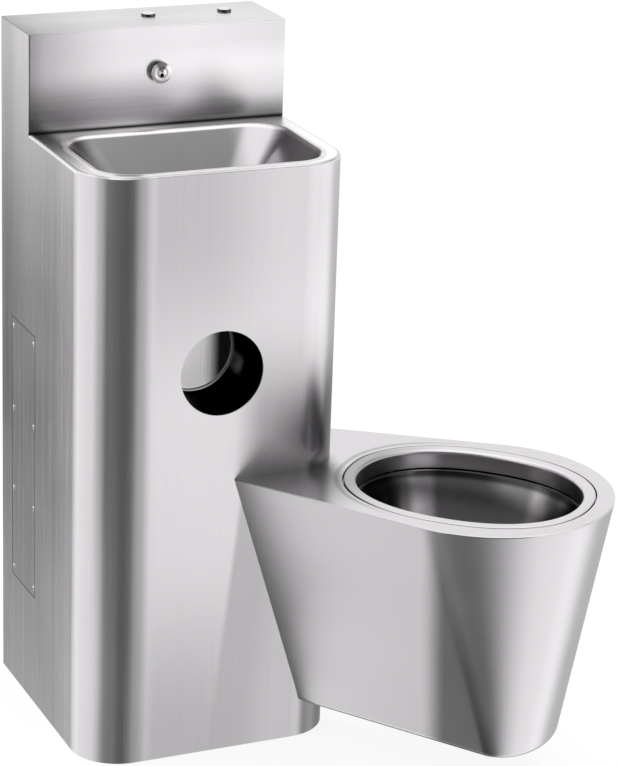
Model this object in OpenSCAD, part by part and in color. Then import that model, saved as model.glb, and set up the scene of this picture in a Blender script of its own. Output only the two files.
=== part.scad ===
// Floor-standing stainless-steel basin cabinet with a WC pan welded to its front right corner.
// X runs to the right along the front, Y towards the wall, Z up.
// The origin is the middle of the cabinet's footprint, on the floor.

/* [Cabinet] */
// Width of the cabinet
cabinet_w = 380; // [360:1:440]
// Depth of the cabinet, front to wall
cabinet_d = 375; // [365:1:430]
// Height of the basin deck above the floor
deck_h = 850; // [830:1:900]
// Radius of the two vertical front corners
corner_r = 70; // [50:1:80]
// Thickness of the steel sheet
sheet_t = 1.5; // [1:0.1:2]

/* [Upstand] */
// Height of the upstand above the deck
upstand_h = 140; // [130:1:170]
// Depth of the upstand, face to wall
upstand_d = 120; // [112:1:135]
// Height of the spout above the deck
spout_rise = 76; // [66:1:82]
// Radius of the spout's head
spout_r = 15; // [13:0.5:18]
// How far the spout's head stands off its seal
spout_reach = 11; // [6:0.5:14]

/* [Push-buttons] */
// Basin button to the right of the cabinet's middle
tap_x = 10; // [6:1:20]
// Distance from the cabinet's right side to the flush button
flush_from_side = 65; // [60:1:75]
// Distance from the wall to the line of the buttons
buttons_from_wall = 49; // [45:1:53]
// Radius of a push-button
button_r = 10; // [9:0.5:11]
// How far a button stands up at rest, which is also its travel
button_rise = 4; // [2:0.5:5]

/* [Basin] */
// Width of the deck on each side of the basin opening
deck_side = 27; // [25:1:40]
// Width of the deck in front of the basin opening
deck_front = 16.5; // [14:0.5:20]
// Width of the deck between the basin opening and the upstand
deck_back = 32.5; // [28:0.5:38]
// Corner radius of the basin opening
bowl_corner_r = 50; // [35:1:60]
// Depth of the bowl below the deck
bowl_depth = 120; // [110:1:125]
// Width of the bowl's floor
bowl_floor_w = 140; // [120:1:160]
// Depth of the bowl's floor, front to back
bowl_floor_d = 80; // [76:1:90]

/* [Toilet-roll pocket] */
// Radius of the pocket
roll_r = 60.5; // [55:0.5:63]
// Height of the pocket's middle above the floor
roll_h = 566; // [560:1:570]
// Depth of the pocket
roll_depth = 110; // [95:1:112]

/* [Access panel] */
// Width of the access panel
panel_w = 102; // [90:1:106]
// Height of the access panel
panel_h = 398; // [360:1:410]
// Height of the panel's middle above the floor
panel_mid_h = 366; // [350:1:380]
// Distance from the wall to the middle of the panel
panel_from_wall = 96; // [92:1:100]

/* [WC pan] */
// Height of the pan's top
pan_top = 410; // [400:1:450]
// Height of the pan's underside
pan_bottom = 52; // [45:1:56]
// Distance from the cabinet's corner to the centre of the nose, at the top
nose_top_s = 207; // [203:1:212]
// Radius of the nose at the top
nose_top_r = 177; // [174:1:182]
// Distance from the cabinet's corner to the centre of the nose, at the underside
nose_low_s = 260; // [250:1:268]
// Length of the rounded nose at the underside
nose_low_a = 64; // [56:1:70]
// Half width of the nose at the underside
nose_low_b = 96; // [90:1:102]
// Thickness of the pan's shell
pan_t = 2; // [1.5:0.1:2.5]
// Half length of the rim's outer oval
rim_a = 176; // [174:1:177]
// Half width of the rim's outer oval
rim_b = 146; // [143:1:147]
// Width of the rim ring
rim_w = 18.5; // [17:0.5:20]
// Height of the rim's inner skirt
rim_skirt_h = 27; // [24:1:30]

/* [Drains and water] */
// Outer radius of the soil outlet at the wall
outlet_r = 51; // [48:1:55]
// Height of the soil outlet above the floor
outlet_h = 185; // [180:1:190]
// Soil outlet to the right of the cabinet's middle
outlet_x = 75; // [70:1:84]
// Outer radius of the basin's waste pipe
waste_r = 16; // [15:0.5:17]
// Height of the basin's waste outlet above the floor
waste_h = 400; // [392:1:410]
// Outer radius of the basin's water pipe
tap_pipe_r = 7.5; // [6:0.5:8]
// Outer radius of the flush water pipe
flush_pipe_r = 11; // [10:0.5:12]
// Radius of the basin waste's threaded end at the wall
waste_end_r = 21; // [18:0.5:24]
// Radius of the basin water inlet's threaded end
tap_end_r = 10.5; // [9:0.5:12]
// Radius of the flush water inlet's threaded end
flush_end_r = 16.5; // [13:0.5:17]

/* [Fixings] */
// Distance from the cabinet's sides to the floor fixing holes
floor_from_side = 40; // [38:1:45]
// Distance from the cabinet's front and back to the floor fixing holes
floor_from_ends = 37.5; // [36:0.5:44]
// Radius of a floor fixing hole
floor_hole_r = 5.5; // [4:0.5:6.5]
// Distance from the cabinet's sides to the wall fixing holes
wall_from_side = 22; // [19:1:25]
// Height of the lower wall fixing holes
wall_low_h = 120; // [90:1:150]
// Distance between the lower and upper wall fixing holes
wall_span_z = 720; // [680:1:760]
// Radius of a wall fixing hole
wall_hole_r = 6; // [4:0.5:7]

/* [Hidden] */

// Overrun of every cut past the face that it opens
over = 5;
// Gap at a welded seam between curved sheets
weld_gap = 0.2;
// Radial clearance of a push-in joint
fit = 0.2;
// Radial clearance of a turning or sliding stem
running = 0.05;
// Facets of an exact round and of a hull's own rounds
round_fn = 64;
hull_fn = 48;
// Flats on a nut and on the large slip nut
nut_sides = 6;
slip_nut_sides = 8;

half_w = cabinet_w / 2;
front_y = -cabinet_d / 2;
back_y = cabinet_d / 2;
upstand_y = back_y - upstand_d;
total_h = deck_h + upstand_h;
shell_top = deck_h - sheet_t;
plate_under = total_h - sheet_t;

// Frames inside the cabinet
frame_t = 3;
frame_bar = 40;
base_bar = 54;
rear_bar_low = 60;
bar_clear = 0.3;

// Access panel
panel_gap = 1;
access_lap = 11;
access_t = 2;
panel_y = back_y - panel_from_wall;
screw_inset = 7;
screw_end_inset = 13;
screw_rows = 4;
screw_head_r = 3.6;
screw_head_t = 1.2;
screw_top_share = 0.84;
screw_shank_r = 2;
screw_tail = 3;

// Toilet-roll pocket
roll_dish = 4;

// Bowl
bowl_w = cabinet_w - 2 * deck_side;
bowl_d = cabinet_d - upstand_d - deck_front - deck_back;
bowl_y = front_y + deck_front + bowl_d / 2;
bowl_t = 1.5;
bowl_lip = 10;
bowl_floor_r = 28;
bowl_floor_z = deck_h - bowl_depth;
bowl_top_z = deck_h - sheet_t;

// Waste fitting
drain_r = 19;
drain_flange_r = 33;
drain_flange_t = 1.5;
drain_tail = 32;
drain_slot_w = 4;
drain_slots = 5;
// Pitch of the slots as a share of twice their width
drain_pitch_share = 0.8;
drain_seal_t = 3;
drain_nut_t = 8;
pipe_wall = 1.5;
// Radius of a pipe's knuckle, and where the straight runs start in it, as shares of the pipe's radius
knuckle_share = 1.1;
knuckle_inset_share = 0.35;
plug_in = 10;
waste_end_len = 24;
inlet_end_len = 16;
waste_drop = 60;
trap_from_pocket = 72;
trap_y = front_y + roll_depth + trap_from_pocket;
trap_r = 32;
trap_below = 75;
trap_above = 25;
trap_wall = 3;

// Push valves
flush_x = half_w - flush_from_side;
valve_y = back_y - buttons_from_wall;
port_z = deck_h + spout_rise;
cap_skirt = 8;
cap_dome = 1;
spring_len = 25;
spring_wire = 2;
stem_r = 4;
stem_below = 15;
stem_room = 22;
cup_gap = 0.7;
hole_gap = 0.4;
valve_wall = 5.5;
flush_valve_wall = 11;
valve_below = 24;
valve_flange_t = 4;
flange_ear = 12;
stud_r = 2.5;
stud_len = 14;
stud_gap = 0.3;
nut_r = 5;
nut_t = 4;
cap_bottom = plate_under - cap_skirt;
seat_z = cap_bottom - spring_len;
valve_bottom = port_z - valve_below;
tap_valve_r = button_r + cup_gap + valve_wall;
flush_valve_r = button_r + cup_gap + flush_valve_wall;

// Spout
spout_seal_t = 1;
spout_face_share = 0.84;
spout_base_share = 0.55;
spout_hole_r = 3.3;
spout_hole_drop = 3;
spout_tail_r = 8.5;
spout_tail = 14;
spout_bore_r = 6;
spout_nut_t = 7;
spout_nut_r = 15;
spout_pipe_r = 5.8;
spout_tail_y = upstand_y + spout_tail;
spout_plug = 6;
spout_knee_gap = 14;

// Stop valves
inlet_rise = 65;
inlet_h = waste_h + inlet_rise;
stop_wall = 4.5;
stop_low = 16;
stop_high = 48;
stop_pin_rise = 26;
stop_boss = 6;
stop_boss_r = 9;
lever_pin_r = 3.5;
lever_t = 3;
lever_w = 12;
lever_neck_w = 6;
lever_len = 48;
lever_gap = 0.4;
stop_back = 8;

// Flush water run
flush_knee_gap = 30;

// Pan
pan_turn = 45;
pan_flare = 10.5;
pan_back_s = -130;
pan_plate_t = 2;
oval_power = 2.2;
oval_steps = 96;
arc_steps = 48;
rim_s = 182;
rim_groove = 1.2;
rim_wall_t = 3;
rim_lap = 1.8;
rim_drop = 30;
skirt_t = 1.5;
bowl_sheet = 2;
bowl_step = 2;
pan_mid_s = 165;
pan_mid_a = 120;
pan_mid_b = 100;
pan_mid_drop = 140;
sump_s = 150;
sump_r = 40;
sump_drop = 245;
channel_floor = pan_top - rim_drop;
sump_z = pan_top - sump_drop;
skin = 0.5;

// Soil trap inside the pan
trap_pipe_r = 42;
trap_pipe_wall = 2;
trap_low_gap = 8;
trap_low_z = pan_bottom + pan_plate_t + trap_low_gap + trap_pipe_r;
trap_rise = 45;
trap_high_z = outlet_h + trap_rise;
trap_turn_s = 70;
trap_weir_s = 10;
trap_exit_s = -45;
sleeve_len = 70;
sleeve_wall = 2;
service_gap = 3;
trap_hole_r = trap_pipe_r * knuckle_share + service_gap;

// Gussets between the cabinet's corner and the pan's underside
gusset_t = 4;
gusset_gap = 5;
gusset_back_s = -60;
gusset_foot_s = 35;
gusset_len = 96;
gusset_h = 290;
gusset_rise = 80;

steel = [0.74, 0.75, 0.76];
bright = [0.82, 0.83, 0.84];
zinc = [0.6, 0.62, 0.64];
brass = [0.78, 0.66, 0.38];
rubber = [0.12, 0.12, 0.12];
grey = [0.55, 0.56, 0.58];
red = [0.6, 0.12, 0.1];

// Points on the pan's centre line, s outwards from the cabinet's sharp corner
function pan_point(s, z) = [half_w + s * cos(pan_turn), front_y - s * sin(pan_turn), z];
// Distance s at which the pan's centre line crosses a given x
function axis_s(x) = (x - half_w) / cos(pan_turn);

// Outline of the pan: straight flared sides that run into a rounded nose
function pan_outline(mid, a, b, back) = let(
    k = tan(pan_flare),
    root = sqrt(a * a * k * k + b * b),
    end = atan2(b, -a * k),
    half = root + k * (back - mid))
    concat([[back, -half]],
        [for (i = [0:arc_steps]) let(t = end * (2 * i / arc_steps - 1)) [mid + a * cos(t), b * sin(t)]],
        [[back, half]]);

// Outline of the rim and bowl: an oval a little fuller than an ellipse
function oval(mid, a, b) = [for (i = [0:oval_steps - 1]) let(
    t = 360 * i / oval_steps, c = cos(t), q = sin(t))
    [mid + a * sign(c) * pow(abs(c), 2 / oval_power), b * sign(q) * pow(abs(q), 2 / oval_power)]];

module at_pan() {
    translate([half_w, front_y, 0]) rotate([0, 0, -pan_turn]) children();
}

// Plan of the cabinet, moved inwards by inset, with its back at y
module footprint(inset, y) {
    r = corner_r - inset;
    w = cabinet_w - 2 * inset;
    translate([-w / 2, front_y + inset + r]) square([w, y - front_y - inset - r]);
    translate([r - w / 2, front_y + inset]) square([w - 2 * r, r]);
    for (side = [-1, 1])
        translate([side * (w / 2 - r), front_y + inset + r]) circle(r, $fn = round_fn);
}

module cabinet_space() {
    translate([0, 0, -over]) linear_extrude(total_h) footprint(-weld_gap, back_y);
}

module rounded(w, d, r) {
    square([w - 2 * r, d], center = true);
    square([w, d - 2 * r], center = true);
    for (x = [-1, 1]) for (y = [-1, 1])
        translate([x * (w / 2 - r), y * (d / 2 - r)]) circle(r, $fn = round_fn);
}

// Places its children at a, with their Z axis towards b
module aim(a, b) {
    v = b - a;
    translate(a) rotate([0, acos(v[2] / norm(v)), atan2(v[1], v[0])]) children();
}

// Straight rod between two points, lengthened at each end
module rod(a, b, r, start, end) {
    aim(a, b) translate([0, 0, -start])
        cylinder(h = norm(b - a) + start + end, r = r, $fn = round_fn);
}

// Chain of rods with a round knuckle at each inner point
module bent_rod(p, r, reach) {
    last = len(p) - 2;
    inset = -r * knuckle_inset_share;
    for (i = [0:last])
        rod(p[i], p[i + 1], r, i == 0 ? reach : inset, i == last ? reach : inset);
    for (i = [1:1:last])
        aim(p[i], 2 * p[i] - p[i - 1]) sphere(r * knuckle_share, $fn = round_fn);
}

// Pipe along a list of points
module pipe(p, r, wall) {
    difference() {
        bent_rod(p, r, 0);
        bent_rod(p, r - wall, over);
    }
}

module across_x(x, y, z, r, h) {
    translate([x, y, z]) rotate([0, 90, 0]) cylinder(h = h, r = r, $fn = round_fn);
}

module across_y(x, y, z, r, h) {
    translate([x, y, z]) rotate([-90, 0, 0]) cylinder(h = h, r = r, $fn = round_fn);
}

module screw_places() {
    for (side = [-1, 1]) for (i = [0:screw_rows - 1])
        translate([0, panel_y + side * (panel_w / 2 - screw_inset),
            panel_mid_h + (i / (screw_rows - 1) - 1 / 2) * (panel_h - 2 * screw_end_inset)]) children();
}

module stud_places() {
    for (side = [-1, 1]) {
        translate([tap_x + side * (tap_valve_r + flange_ear / 2), valve_y, 0]) children();
        translate([flush_x + side * (flush_valve_r + flange_ear / 2), valve_y, 0]) children();
    }
}

// Front, both sides and the upstand's cheeks, folded from one sheet
module cabinet_shell() {
    color(steel) difference() {
        union() {
            linear_extrude(shell_top) difference() {
                footprint(0, back_y);
                footprint(sheet_t, back_y + over);
            }
            for (side = [-1, 1])
                translate([side * (half_w - sheet_t / 2) - sheet_t / 2, upstand_y + sheet_t, 0])
                    cube([sheet_t, upstand_d - sheet_t, plate_under]);
        }
        across_y(0, front_y - over, roll_h, roll_r, sheet_t + 2 * over);
        translate([-half_w - over, panel_y - panel_w / 2 - panel_gap, panel_mid_h - panel_h / 2 - panel_gap])
            cube([sheet_t + 2 * over, panel_w + 2 * panel_gap, panel_h + 2 * panel_gap]);
        rod(pan_point(pan_back_s, trap_high_z), pan_point(0, trap_high_z), trap_hole_r, 0, 0);
        rod(pan_point(pan_back_s, flush_in_z), pan_point(0, flush_in_z), flush_pipe_r + service_gap, 0, 0);
    }
}

module deck_plate() {
    color(steel) translate([0, 0, shell_top]) linear_extrude(sheet_t) difference() {
        footprint(0, upstand_y);
        translate([0, bowl_y]) rounded(bowl_w, bowl_d, bowl_corner_r);
    }
}

// Front and top of the upstand, folded from one sheet
module upstand_cover() {
    color(steel) difference() {
        union() {
            translate([-half_w, upstand_y, shell_top]) cube([cabinet_w, sheet_t, total_h - shell_top]);
            translate([-half_w, upstand_y, plate_under]) cube([cabinet_w, upstand_d, sheet_t]);
        }
        across_y(0, upstand_y - over, port_z, spout_tail_r + stud_gap, sheet_t + 2 * over);
        for (x = [tap_x, flush_x])
            translate([x, valve_y, plate_under - over])
                cylinder(h = sheet_t + 2 * over, r = button_r + hole_gap, $fn = round_fn);
    }
}

// Flat frame that stiffens the open back and takes the wall fixings
module rear_frame() {
    outer_w = cabinet_w - 2 * sheet_t - 2 * bar_clear;
    frame_h = plate_under - frame_t;
    color(zinc) difference() {
        translate([-outer_w / 2, back_y - frame_t, frame_t]) cube([outer_w, frame_t, frame_h]);
        translate([frame_bar - outer_w / 2, back_y - frame_t - over, frame_t + rear_bar_low])
            cube([outer_w - 2 * frame_bar, frame_t + 2 * over, frame_h - rear_bar_low - frame_bar]);
        for (x = [-1, 1]) for (z = [wall_low_h, wall_low_h + wall_span_z])
            across_y(x * (half_w - wall_from_side), back_y - frame_t - over, z, wall_hole_r,
                frame_t + 2 * over);
    }
}

// Flat frame on the floor, with the floor fixing holes
module base_frame() {
    inner_w = cabinet_w - 2 * sheet_t - 2 * base_bar;
    inner_d = cabinet_d - 2 * sheet_t - 2 * base_bar;
    color(zinc) linear_extrude(frame_t) difference() {
        footprint(sheet_t + weld_gap, back_y);
        square([inner_w, inner_d], center = true);
        for (x = [-1, 1]) for (y = [-1, 1])
            translate([x * (half_w - floor_from_side), y * (back_y - floor_from_ends)])
                circle(floor_hole_r, $fn = round_fn);
    }
}

// Frame behind the access opening that the panel is screwed to
module access_frame() {
    outer_w = panel_w + 2 * access_lap;
    outer_h = panel_h + 2 * access_lap;
    inner_w = panel_w - 2 * access_lap - 2 * screw_shank_r;
    inner_h = panel_h - 2 * access_lap - 2 * screw_end_inset;
    color(zinc) difference() {
        translate([sheet_t - half_w, panel_y - outer_w / 2, panel_mid_h - outer_h / 2])
            cube([access_t, outer_w, outer_h]);
        translate([-half_w, panel_y - inner_w / 2, panel_mid_h - inner_h / 2])
            cube([access_t + 2 * over, inner_w, inner_h]);
        screw_places() across_x(-half_w, 0, 0, screw_shank_r + running, access_t + 2 * over);
    }
}

module access_panel() {
    color(steel) difference() {
        translate([-half_w, panel_y - panel_w / 2, panel_mid_h - panel_h / 2])
            cube([sheet_t, panel_w, panel_h]);
        screw_places() across_x(-half_w - over, 0, 0, screw_shank_r + fit, sheet_t + 2 * over);
    }
}

module access_screws() {
    color(bright) screw_places() {
        translate([-half_w, 0, 0]) rotate([0, -90, 0]) cylinder(h = screw_head_t,
            r1 = screw_head_r, r2 = screw_head_r * screw_top_share, $fn = round_fn);
        across_x(-half_w, 0, 0, screw_shank_r, sheet_t + access_t + screw_tail);
    }
}

// Round recess that holds a toilet roll on its side
module roll_pocket() {
    outer = roll_r + sheet_t;
    start = front_y + sheet_t;
    color(bright) difference() {
        union() {
            across_y(0, start, roll_h, outer, roll_depth - roll_dish);
            translate([0, front_y + roll_depth + sheet_t - roll_dish, roll_h]) rotate([-90, 0, 0])
                cylinder(h = roll_dish, r1 = outer, r2 = outer - roll_dish, $fn = round_fn);
        }
        across_y(0, start - over, roll_h, roll_r, roll_depth - roll_dish - sheet_t + over);
        translate([0, front_y + roll_depth - roll_dish, roll_h]) rotate([-90, 0, 0])
            cylinder(h = roll_dish, r1 = roll_r, r2 = roll_r - roll_dish, $fn = round_fn);
    }
}

module bowl_form(grow, lift) {
    hull() {
        translate([0, bowl_y, bowl_top_z]) linear_extrude(skin + lift)
            rounded(bowl_w + 2 * grow, bowl_d + 2 * grow, bowl_corner_r + grow);
        translate([0, bowl_y, bowl_floor_z - grow]) linear_extrude(skin)
            rounded(bowl_floor_w + 2 * grow, bowl_floor_d + 2 * grow, bowl_floor_r + grow);
    }
}

module basin_bowl() {
    color(bright) difference() {
        union() {
            intersection() {
                bowl_form(bowl_t, 0);
                translate([-half_w, front_y, 0]) cube([cabinet_w, cabinet_d, bowl_top_z]);
            }
            translate([0, bowl_y, bowl_top_z - bowl_t]) linear_extrude(bowl_t)
                rounded(bowl_w + 2 * bowl_lip, bowl_d + 2 * bowl_lip, bowl_corner_r + bowl_lip);
        }
        bowl_form(0, over);
        translate([0, bowl_y, bowl_floor_z - over]) cylinder(h = 2 * over, r = drain_r + fit, $fn = round_fn);
    }
}

// Flanged strainer with a threaded tail
module basin_waste() {
    reach = drain_flange_t + bowl_t + drain_tail;
    color(bright) translate([0, bowl_y, bowl_floor_z]) difference() {
        union() {
            cylinder(h = drain_flange_t, r = drain_flange_r, $fn = round_fn);
            translate([0, 0, -bowl_t - drain_tail]) cylinder(h = reach, r = drain_r, $fn = round_fn);
        }
        translate([0, 0, -bowl_t - drain_tail - over])
            cylinder(h = reach + over - 2 * drain_flange_t, r = waste_r + fit, $fn = round_fn);
        for (i = [0:drain_slots - 1]) {
            x = (i - (drain_slots - 1) / 2) * 2 * drain_slot_w * drain_pitch_share;
            length = 2 * sqrt(pow(waste_r, 2) - pow(x, 2)) - drain_slot_w;
            translate([x - drain_slot_w / 2, -length / 2, -over]) cube([drain_slot_w, length, 2 * over]);
        }
    }
}

module basin_waste_seal() {
    color(rubber) translate([0, bowl_y, bowl_floor_z - bowl_t - drain_seal_t]) difference() {
        cylinder(h = drain_seal_t, r = drain_flange_r - fit, $fn = round_fn);
        translate([0, 0, -over]) cylinder(h = drain_seal_t + 2 * over, r = drain_r + fit, $fn = round_fn);
    }
}

module basin_waste_nut() {
    color(brass) translate([0, bowl_y, bowl_floor_z - bowl_t - drain_seal_t - drain_nut_t]) difference() {
        cylinder(h = drain_nut_t, r = drain_flange_r, $fn = slip_nut_sides);
        translate([0, 0, -over]) cylinder(h = drain_nut_t + 2 * over, r = drain_r + running, $fn = round_fn);
    }
}

waste_run = [[0, bowl_y, bowl_floor_z - bowl_t - drain_tail + plug_in],
    [0, bowl_y, bowl_floor_z - waste_drop],
    [0, trap_y, bowl_floor_z - waste_drop],
    [0, trap_y, waste_h + trap_above - plug_in]];

module basin_waste_pipe() {
    color(grey) pipe(waste_run, waste_r, pipe_wall);
}

// Bottle trap with a screwed-on cup
module basin_trap() {
    low = waste_h - trap_below;
    tall = trap_below + trap_above;
    color(grey) difference() {
        union() {
            translate([0, trap_y, low]) cylinder(h = tall, r = trap_r, $fn = round_fn);
            across_y(0, trap_y, waste_h, waste_r + trap_wall, trap_r + plug_in);
        }
        translate([0, trap_y, low + trap_wall])
            cylinder(h = tall - plug_in - trap_wall, r = trap_r - trap_wall, $fn = round_fn);
        translate([0, trap_y, low + tall - plug_in - over])
            cylinder(h = plug_in + 2 * over, r = waste_r + fit, $fn = round_fn);
        across_y(0, trap_y, waste_h, waste_r + fit, trap_r + plug_in + over);
    }
}

module basin_outlet_pipe() {
    start = trap_y + trap_r;
    color(grey) straight_pipe(0, start, waste_h, waste_r, waste_end_r, waste_end_len);
}

// Fixed nozzle with a small outlet low in its face
module spout() {
    face_y = upstand_y - spout_seal_t - spout_reach;
    base = spout_reach * spout_base_share;
    color(bright) difference() {
        union() {
            across_y(0, face_y + spout_reach - base, port_z, spout_r, base);
            translate([0, face_y, port_z]) rotate([-90, 0, 0]) cylinder(h = spout_reach - base,
                r1 = spout_r * spout_face_share, r2 = spout_r, $fn = round_fn);
            across_y(0, face_y + spout_reach - base, port_z, spout_tail_r, base + spout_seal_t + spout_tail);
        }
        across_y(0, face_y + spout_reach / 2, port_z, spout_bore_r, spout_reach + spout_tail + over);
        across_y(0, face_y - over, port_z - spout_hole_drop, spout_hole_r, spout_reach / 2 + over + skin);
    }
}

module spout_seal() {
    color(rubber) difference() {
        across_y(0, upstand_y - spout_seal_t, port_z, spout_r - fit, spout_seal_t);
        across_y(0, upstand_y - over, port_z, spout_tail_r + fit, 2 * over);
    }
}

module spout_nut() {
    color(brass) difference() {
        translate([0, upstand_y + sheet_t, port_z]) rotate([-90, 0, 0])
            cylinder(h = spout_nut_t, r = spout_nut_r, $fn = nut_sides);
        across_y(0, upstand_y, port_z, spout_tail_r + running, spout_nut_t + over);
    }
}

// Where a valve's outlet pipe starts, inside the port that points at target
function port_start(x, r, target) = let(middle = [x, valve_y, port_z])
    middle + (r - spout_plug) * (target - middle) / norm(target - middle);

spout_knee = [0, spout_tail_y + spout_knee_gap, port_z];

module spout_pipe() {
    color(bright) pipe([[0, spout_tail_y - spout_plug, port_z], spout_knee,
        port_start(tap_x, tap_valve_r, spout_knee)], spout_pipe_r, pipe_wall);
}

// Spring-return cartridge valve that hangs under the upstand's top
module push_valve(x, r, pipe_r, port_r, target) {
    tall = plate_under - valve_bottom;
    ear_w = 2 * (r + flange_ear);
    difference() {
        translate([x, valve_y, valve_bottom]) union() {
            cylinder(h = tall, r = r, $fn = round_fn);
            translate([-ear_w / 2, -flange_ear / 2, tall - valve_flange_t])
                cube([ear_w, flange_ear, valve_flange_t]);
        }
        translate([x, valve_y, seat_z])
            cylinder(h = plate_under - seat_z + over, r = button_r + cup_gap, $fn = round_fn);
        translate([x, valve_y, seat_z - stem_room])
            cylinder(h = stem_room + over, r = stem_r + running, $fn = round_fn);
        translate([x, valve_y, valve_bottom - over])
            cylinder(h = plug_in + over, r = pipe_r + fit, $fn = round_fn);
        translate([x, valve_y, valve_bottom])
            cylinder(h = port_z - valve_bottom, r = port_r - pipe_wall, $fn = round_fn);
        aim([x, valve_y, port_z], target) {
            cylinder(h = r, r = port_r - pipe_wall, $fn = round_fn);
            translate([0, 0, r - spout_plug])
                cylinder(h = spout_plug + over, r = port_r + fit, $fn = round_fn);
        }
        stud_places() translate([0, 0, plate_under - stud_len])
            cylinder(h = stud_len + over, r = stud_r + stud_gap, $fn = round_fn);
    }
}

module push_spring(x) {
    translate([x, valve_y, seat_z]) difference() {
        cylinder(h = spring_len, r = button_r - spring_wire, $fn = round_fn);
        translate([0, 0, -over])
            cylinder(h = spring_len + 2 * over, r = button_r - 2 * spring_wire, $fn = round_fn);
    }
}

module push_button(x) {
    translate([x, valve_y, cap_bottom]) {
        cylinder(h = cap_skirt + sheet_t + button_rise - cap_dome, r = button_r, $fn = round_fn);
        translate([0, 0, cap_skirt + sheet_t + button_rise - cap_dome])
            cylinder(h = cap_dome, r1 = button_r, r2 = button_r - cap_dome, $fn = round_fn);
        translate([0, 0, -spring_len - stem_below])
            cylinder(h = spring_len + stem_below, r = stem_r, $fn = round_fn);
    }
}

module supply_pipe(x, r) {
    low = inlet_h + stop_high - plug_in;
    translate([x, valve_y, low]) difference() {
        cylinder(h = valve_bottom + plug_in - low, r = r, $fn = round_fn);
        translate([0, 0, -over])
            cylinder(h = valve_bottom + plug_in - low + 2 * over, r = r - pipe_wall, $fn = round_fn);
    }
}

// Quarter-turn stop valve at the foot of a supply pipe
module stop_valve(x, r) {
    body_r = r + stop_wall;
    pin_z = inlet_h + stop_pin_rise;
    difference() {
        union() {
            translate([x, valve_y, inlet_h - stop_low])
                cylinder(h = stop_low + stop_high, r = body_r, $fn = round_fn);
            across_y(x, valve_y, inlet_h, r + 2 * pipe_wall, body_r + stop_back);
            across_x(x - body_r - stop_boss, valve_y, pin_z, stop_boss_r, body_r + stop_boss);
        }
        translate([x, valve_y, inlet_h + stop_high - plug_in])
            cylinder(h = plug_in + over, r = r + fit, $fn = round_fn);
        translate([x, valve_y, inlet_h]) cylinder(h = stop_high, r = r - pipe_wall, $fn = round_fn);
        across_y(x, valve_y, inlet_h, r - pipe_wall, body_r + stop_back);
        across_y(x, valve_y + body_r, inlet_h, r + fit, stop_back + over);
        across_x(x - body_r - stop_boss - over, valve_y, pin_z, lever_pin_r + running,
            stop_boss + stop_wall + over);
    }
}

// Flat lever on its stem; it points up when the valve is open
module stop_lever(x, r) {
    face = x - r - stop_wall - stop_boss - lever_gap;
    pin_z = inlet_h + stop_pin_rise;
    across_x(face - lever_t, valve_y, pin_z, lever_w / 2, lever_t);
    translate([face - lever_t, valve_y - lever_neck_w / 2, pin_z]) cube([lever_t, lever_neck_w, lever_len]);
    across_x(face, valve_y, pin_z, lever_pin_r, lever_gap + stop_boss + stop_wall / 2);
}

// Pipe that runs straight back to the wall and ends in a thicker threaded connector
module straight_pipe(x, start, z, r, end_r, end_len) {
    difference() {
        union() {
            across_y(x, start, z, r, back_y - start);
            across_y(x, back_y - end_len, z, end_r, end_len);
        }
        across_y(x, start - over, z, r - pipe_wall, back_y - start + 2 * over);
    }
}

flush_in_z = pan_top - pan_plate_t - (rim_drop - pan_plate_t) / 2;
flush_drop_y = valve_y - flush_valve_r - flush_knee_gap;
flush_knee = [flush_x, flush_drop_y, port_z];
flush_run = [port_start(flush_x, flush_valve_r, flush_knee),
    flush_knee,
    [flush_x, flush_drop_y, flush_in_z],
    [flush_x, front_y - axis_s(flush_x) * sin(pan_turn), flush_in_z],
    pan_point(rim_s - rim_a + rim_wall_t + rim_lap, flush_in_z)];

module flush_pipe() {
    color(bright) pipe(flush_run, flush_pipe_r, pipe_wall);
}

module valve_studs() {
    color(zinc) stud_places() translate([0, 0, plate_under - stud_len])
        cylinder(h = stud_len, r = stud_r, $fn = round_fn);
}

module valve_nuts() {
    color(zinc) stud_places() translate([0, 0, plate_under - valve_flange_t - nut_t]) difference() {
        cylinder(h = nut_t, r = nut_r, $fn = nut_sides);
        translate([0, 0, -over]) cylinder(h = nut_t + 2 * over, r = stud_r + running, $fn = round_fn);
    }
}

// The pan's tapered body, moved inwards by inset
module pan_form(inset, reach) {
    hull() {
        translate([0, 0, pan_top - skin]) linear_extrude(skin + reach)
            polygon(pan_outline(nose_top_s, nose_top_r - inset, nose_top_r - inset, pan_back_s));
        translate([0, 0, pan_bottom - reach]) linear_extrude(skin + reach)
            polygon(pan_outline(nose_low_s, nose_low_a - inset, nose_low_b - inset, pan_back_s));
    }
}

module pan_shell() {
    color(steel) difference() {
        at_pan() difference() {
            pan_form(0, 0);
            pan_form(pan_t, over);
            translate([pan_back_s - over, -nose_top_s, pan_top - pan_plate_t])
                cube([nose_top_s + nose_top_r - pan_back_s + 2 * over, 2 * nose_top_s, 2 * over]);
        }
        cabinet_space();
    }
}

module pan_top_plate() {
    color(steel) difference() {
        at_pan() translate([0, 0, pan_top - pan_plate_t]) linear_extrude(pan_plate_t) difference() {
            polygon(pan_outline(nose_top_s, nose_top_r, nose_top_r, pan_back_s));
            polygon(oval(rim_s, rim_a, rim_b));
        }
        cabinet_space();
    }
}

module pan_base_plate() {
    inset = pan_t + weld_gap;
    color(steel) difference() {
        at_pan() translate([0, 0, pan_bottom]) linear_extrude(pan_plate_t)
            polygon(pan_outline(nose_low_s, nose_low_a - inset, nose_low_b - inset, pan_back_s));
        cabinet_space();
    }
}

module oval_ring(z, h, out_a, out_b, in_a, in_b) {
    translate([0, 0, z]) linear_extrude(h) difference() {
        polygon(oval(rim_s, out_a, out_b));
        polygon(oval(rim_s, in_a, in_b));
    }
}

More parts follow.
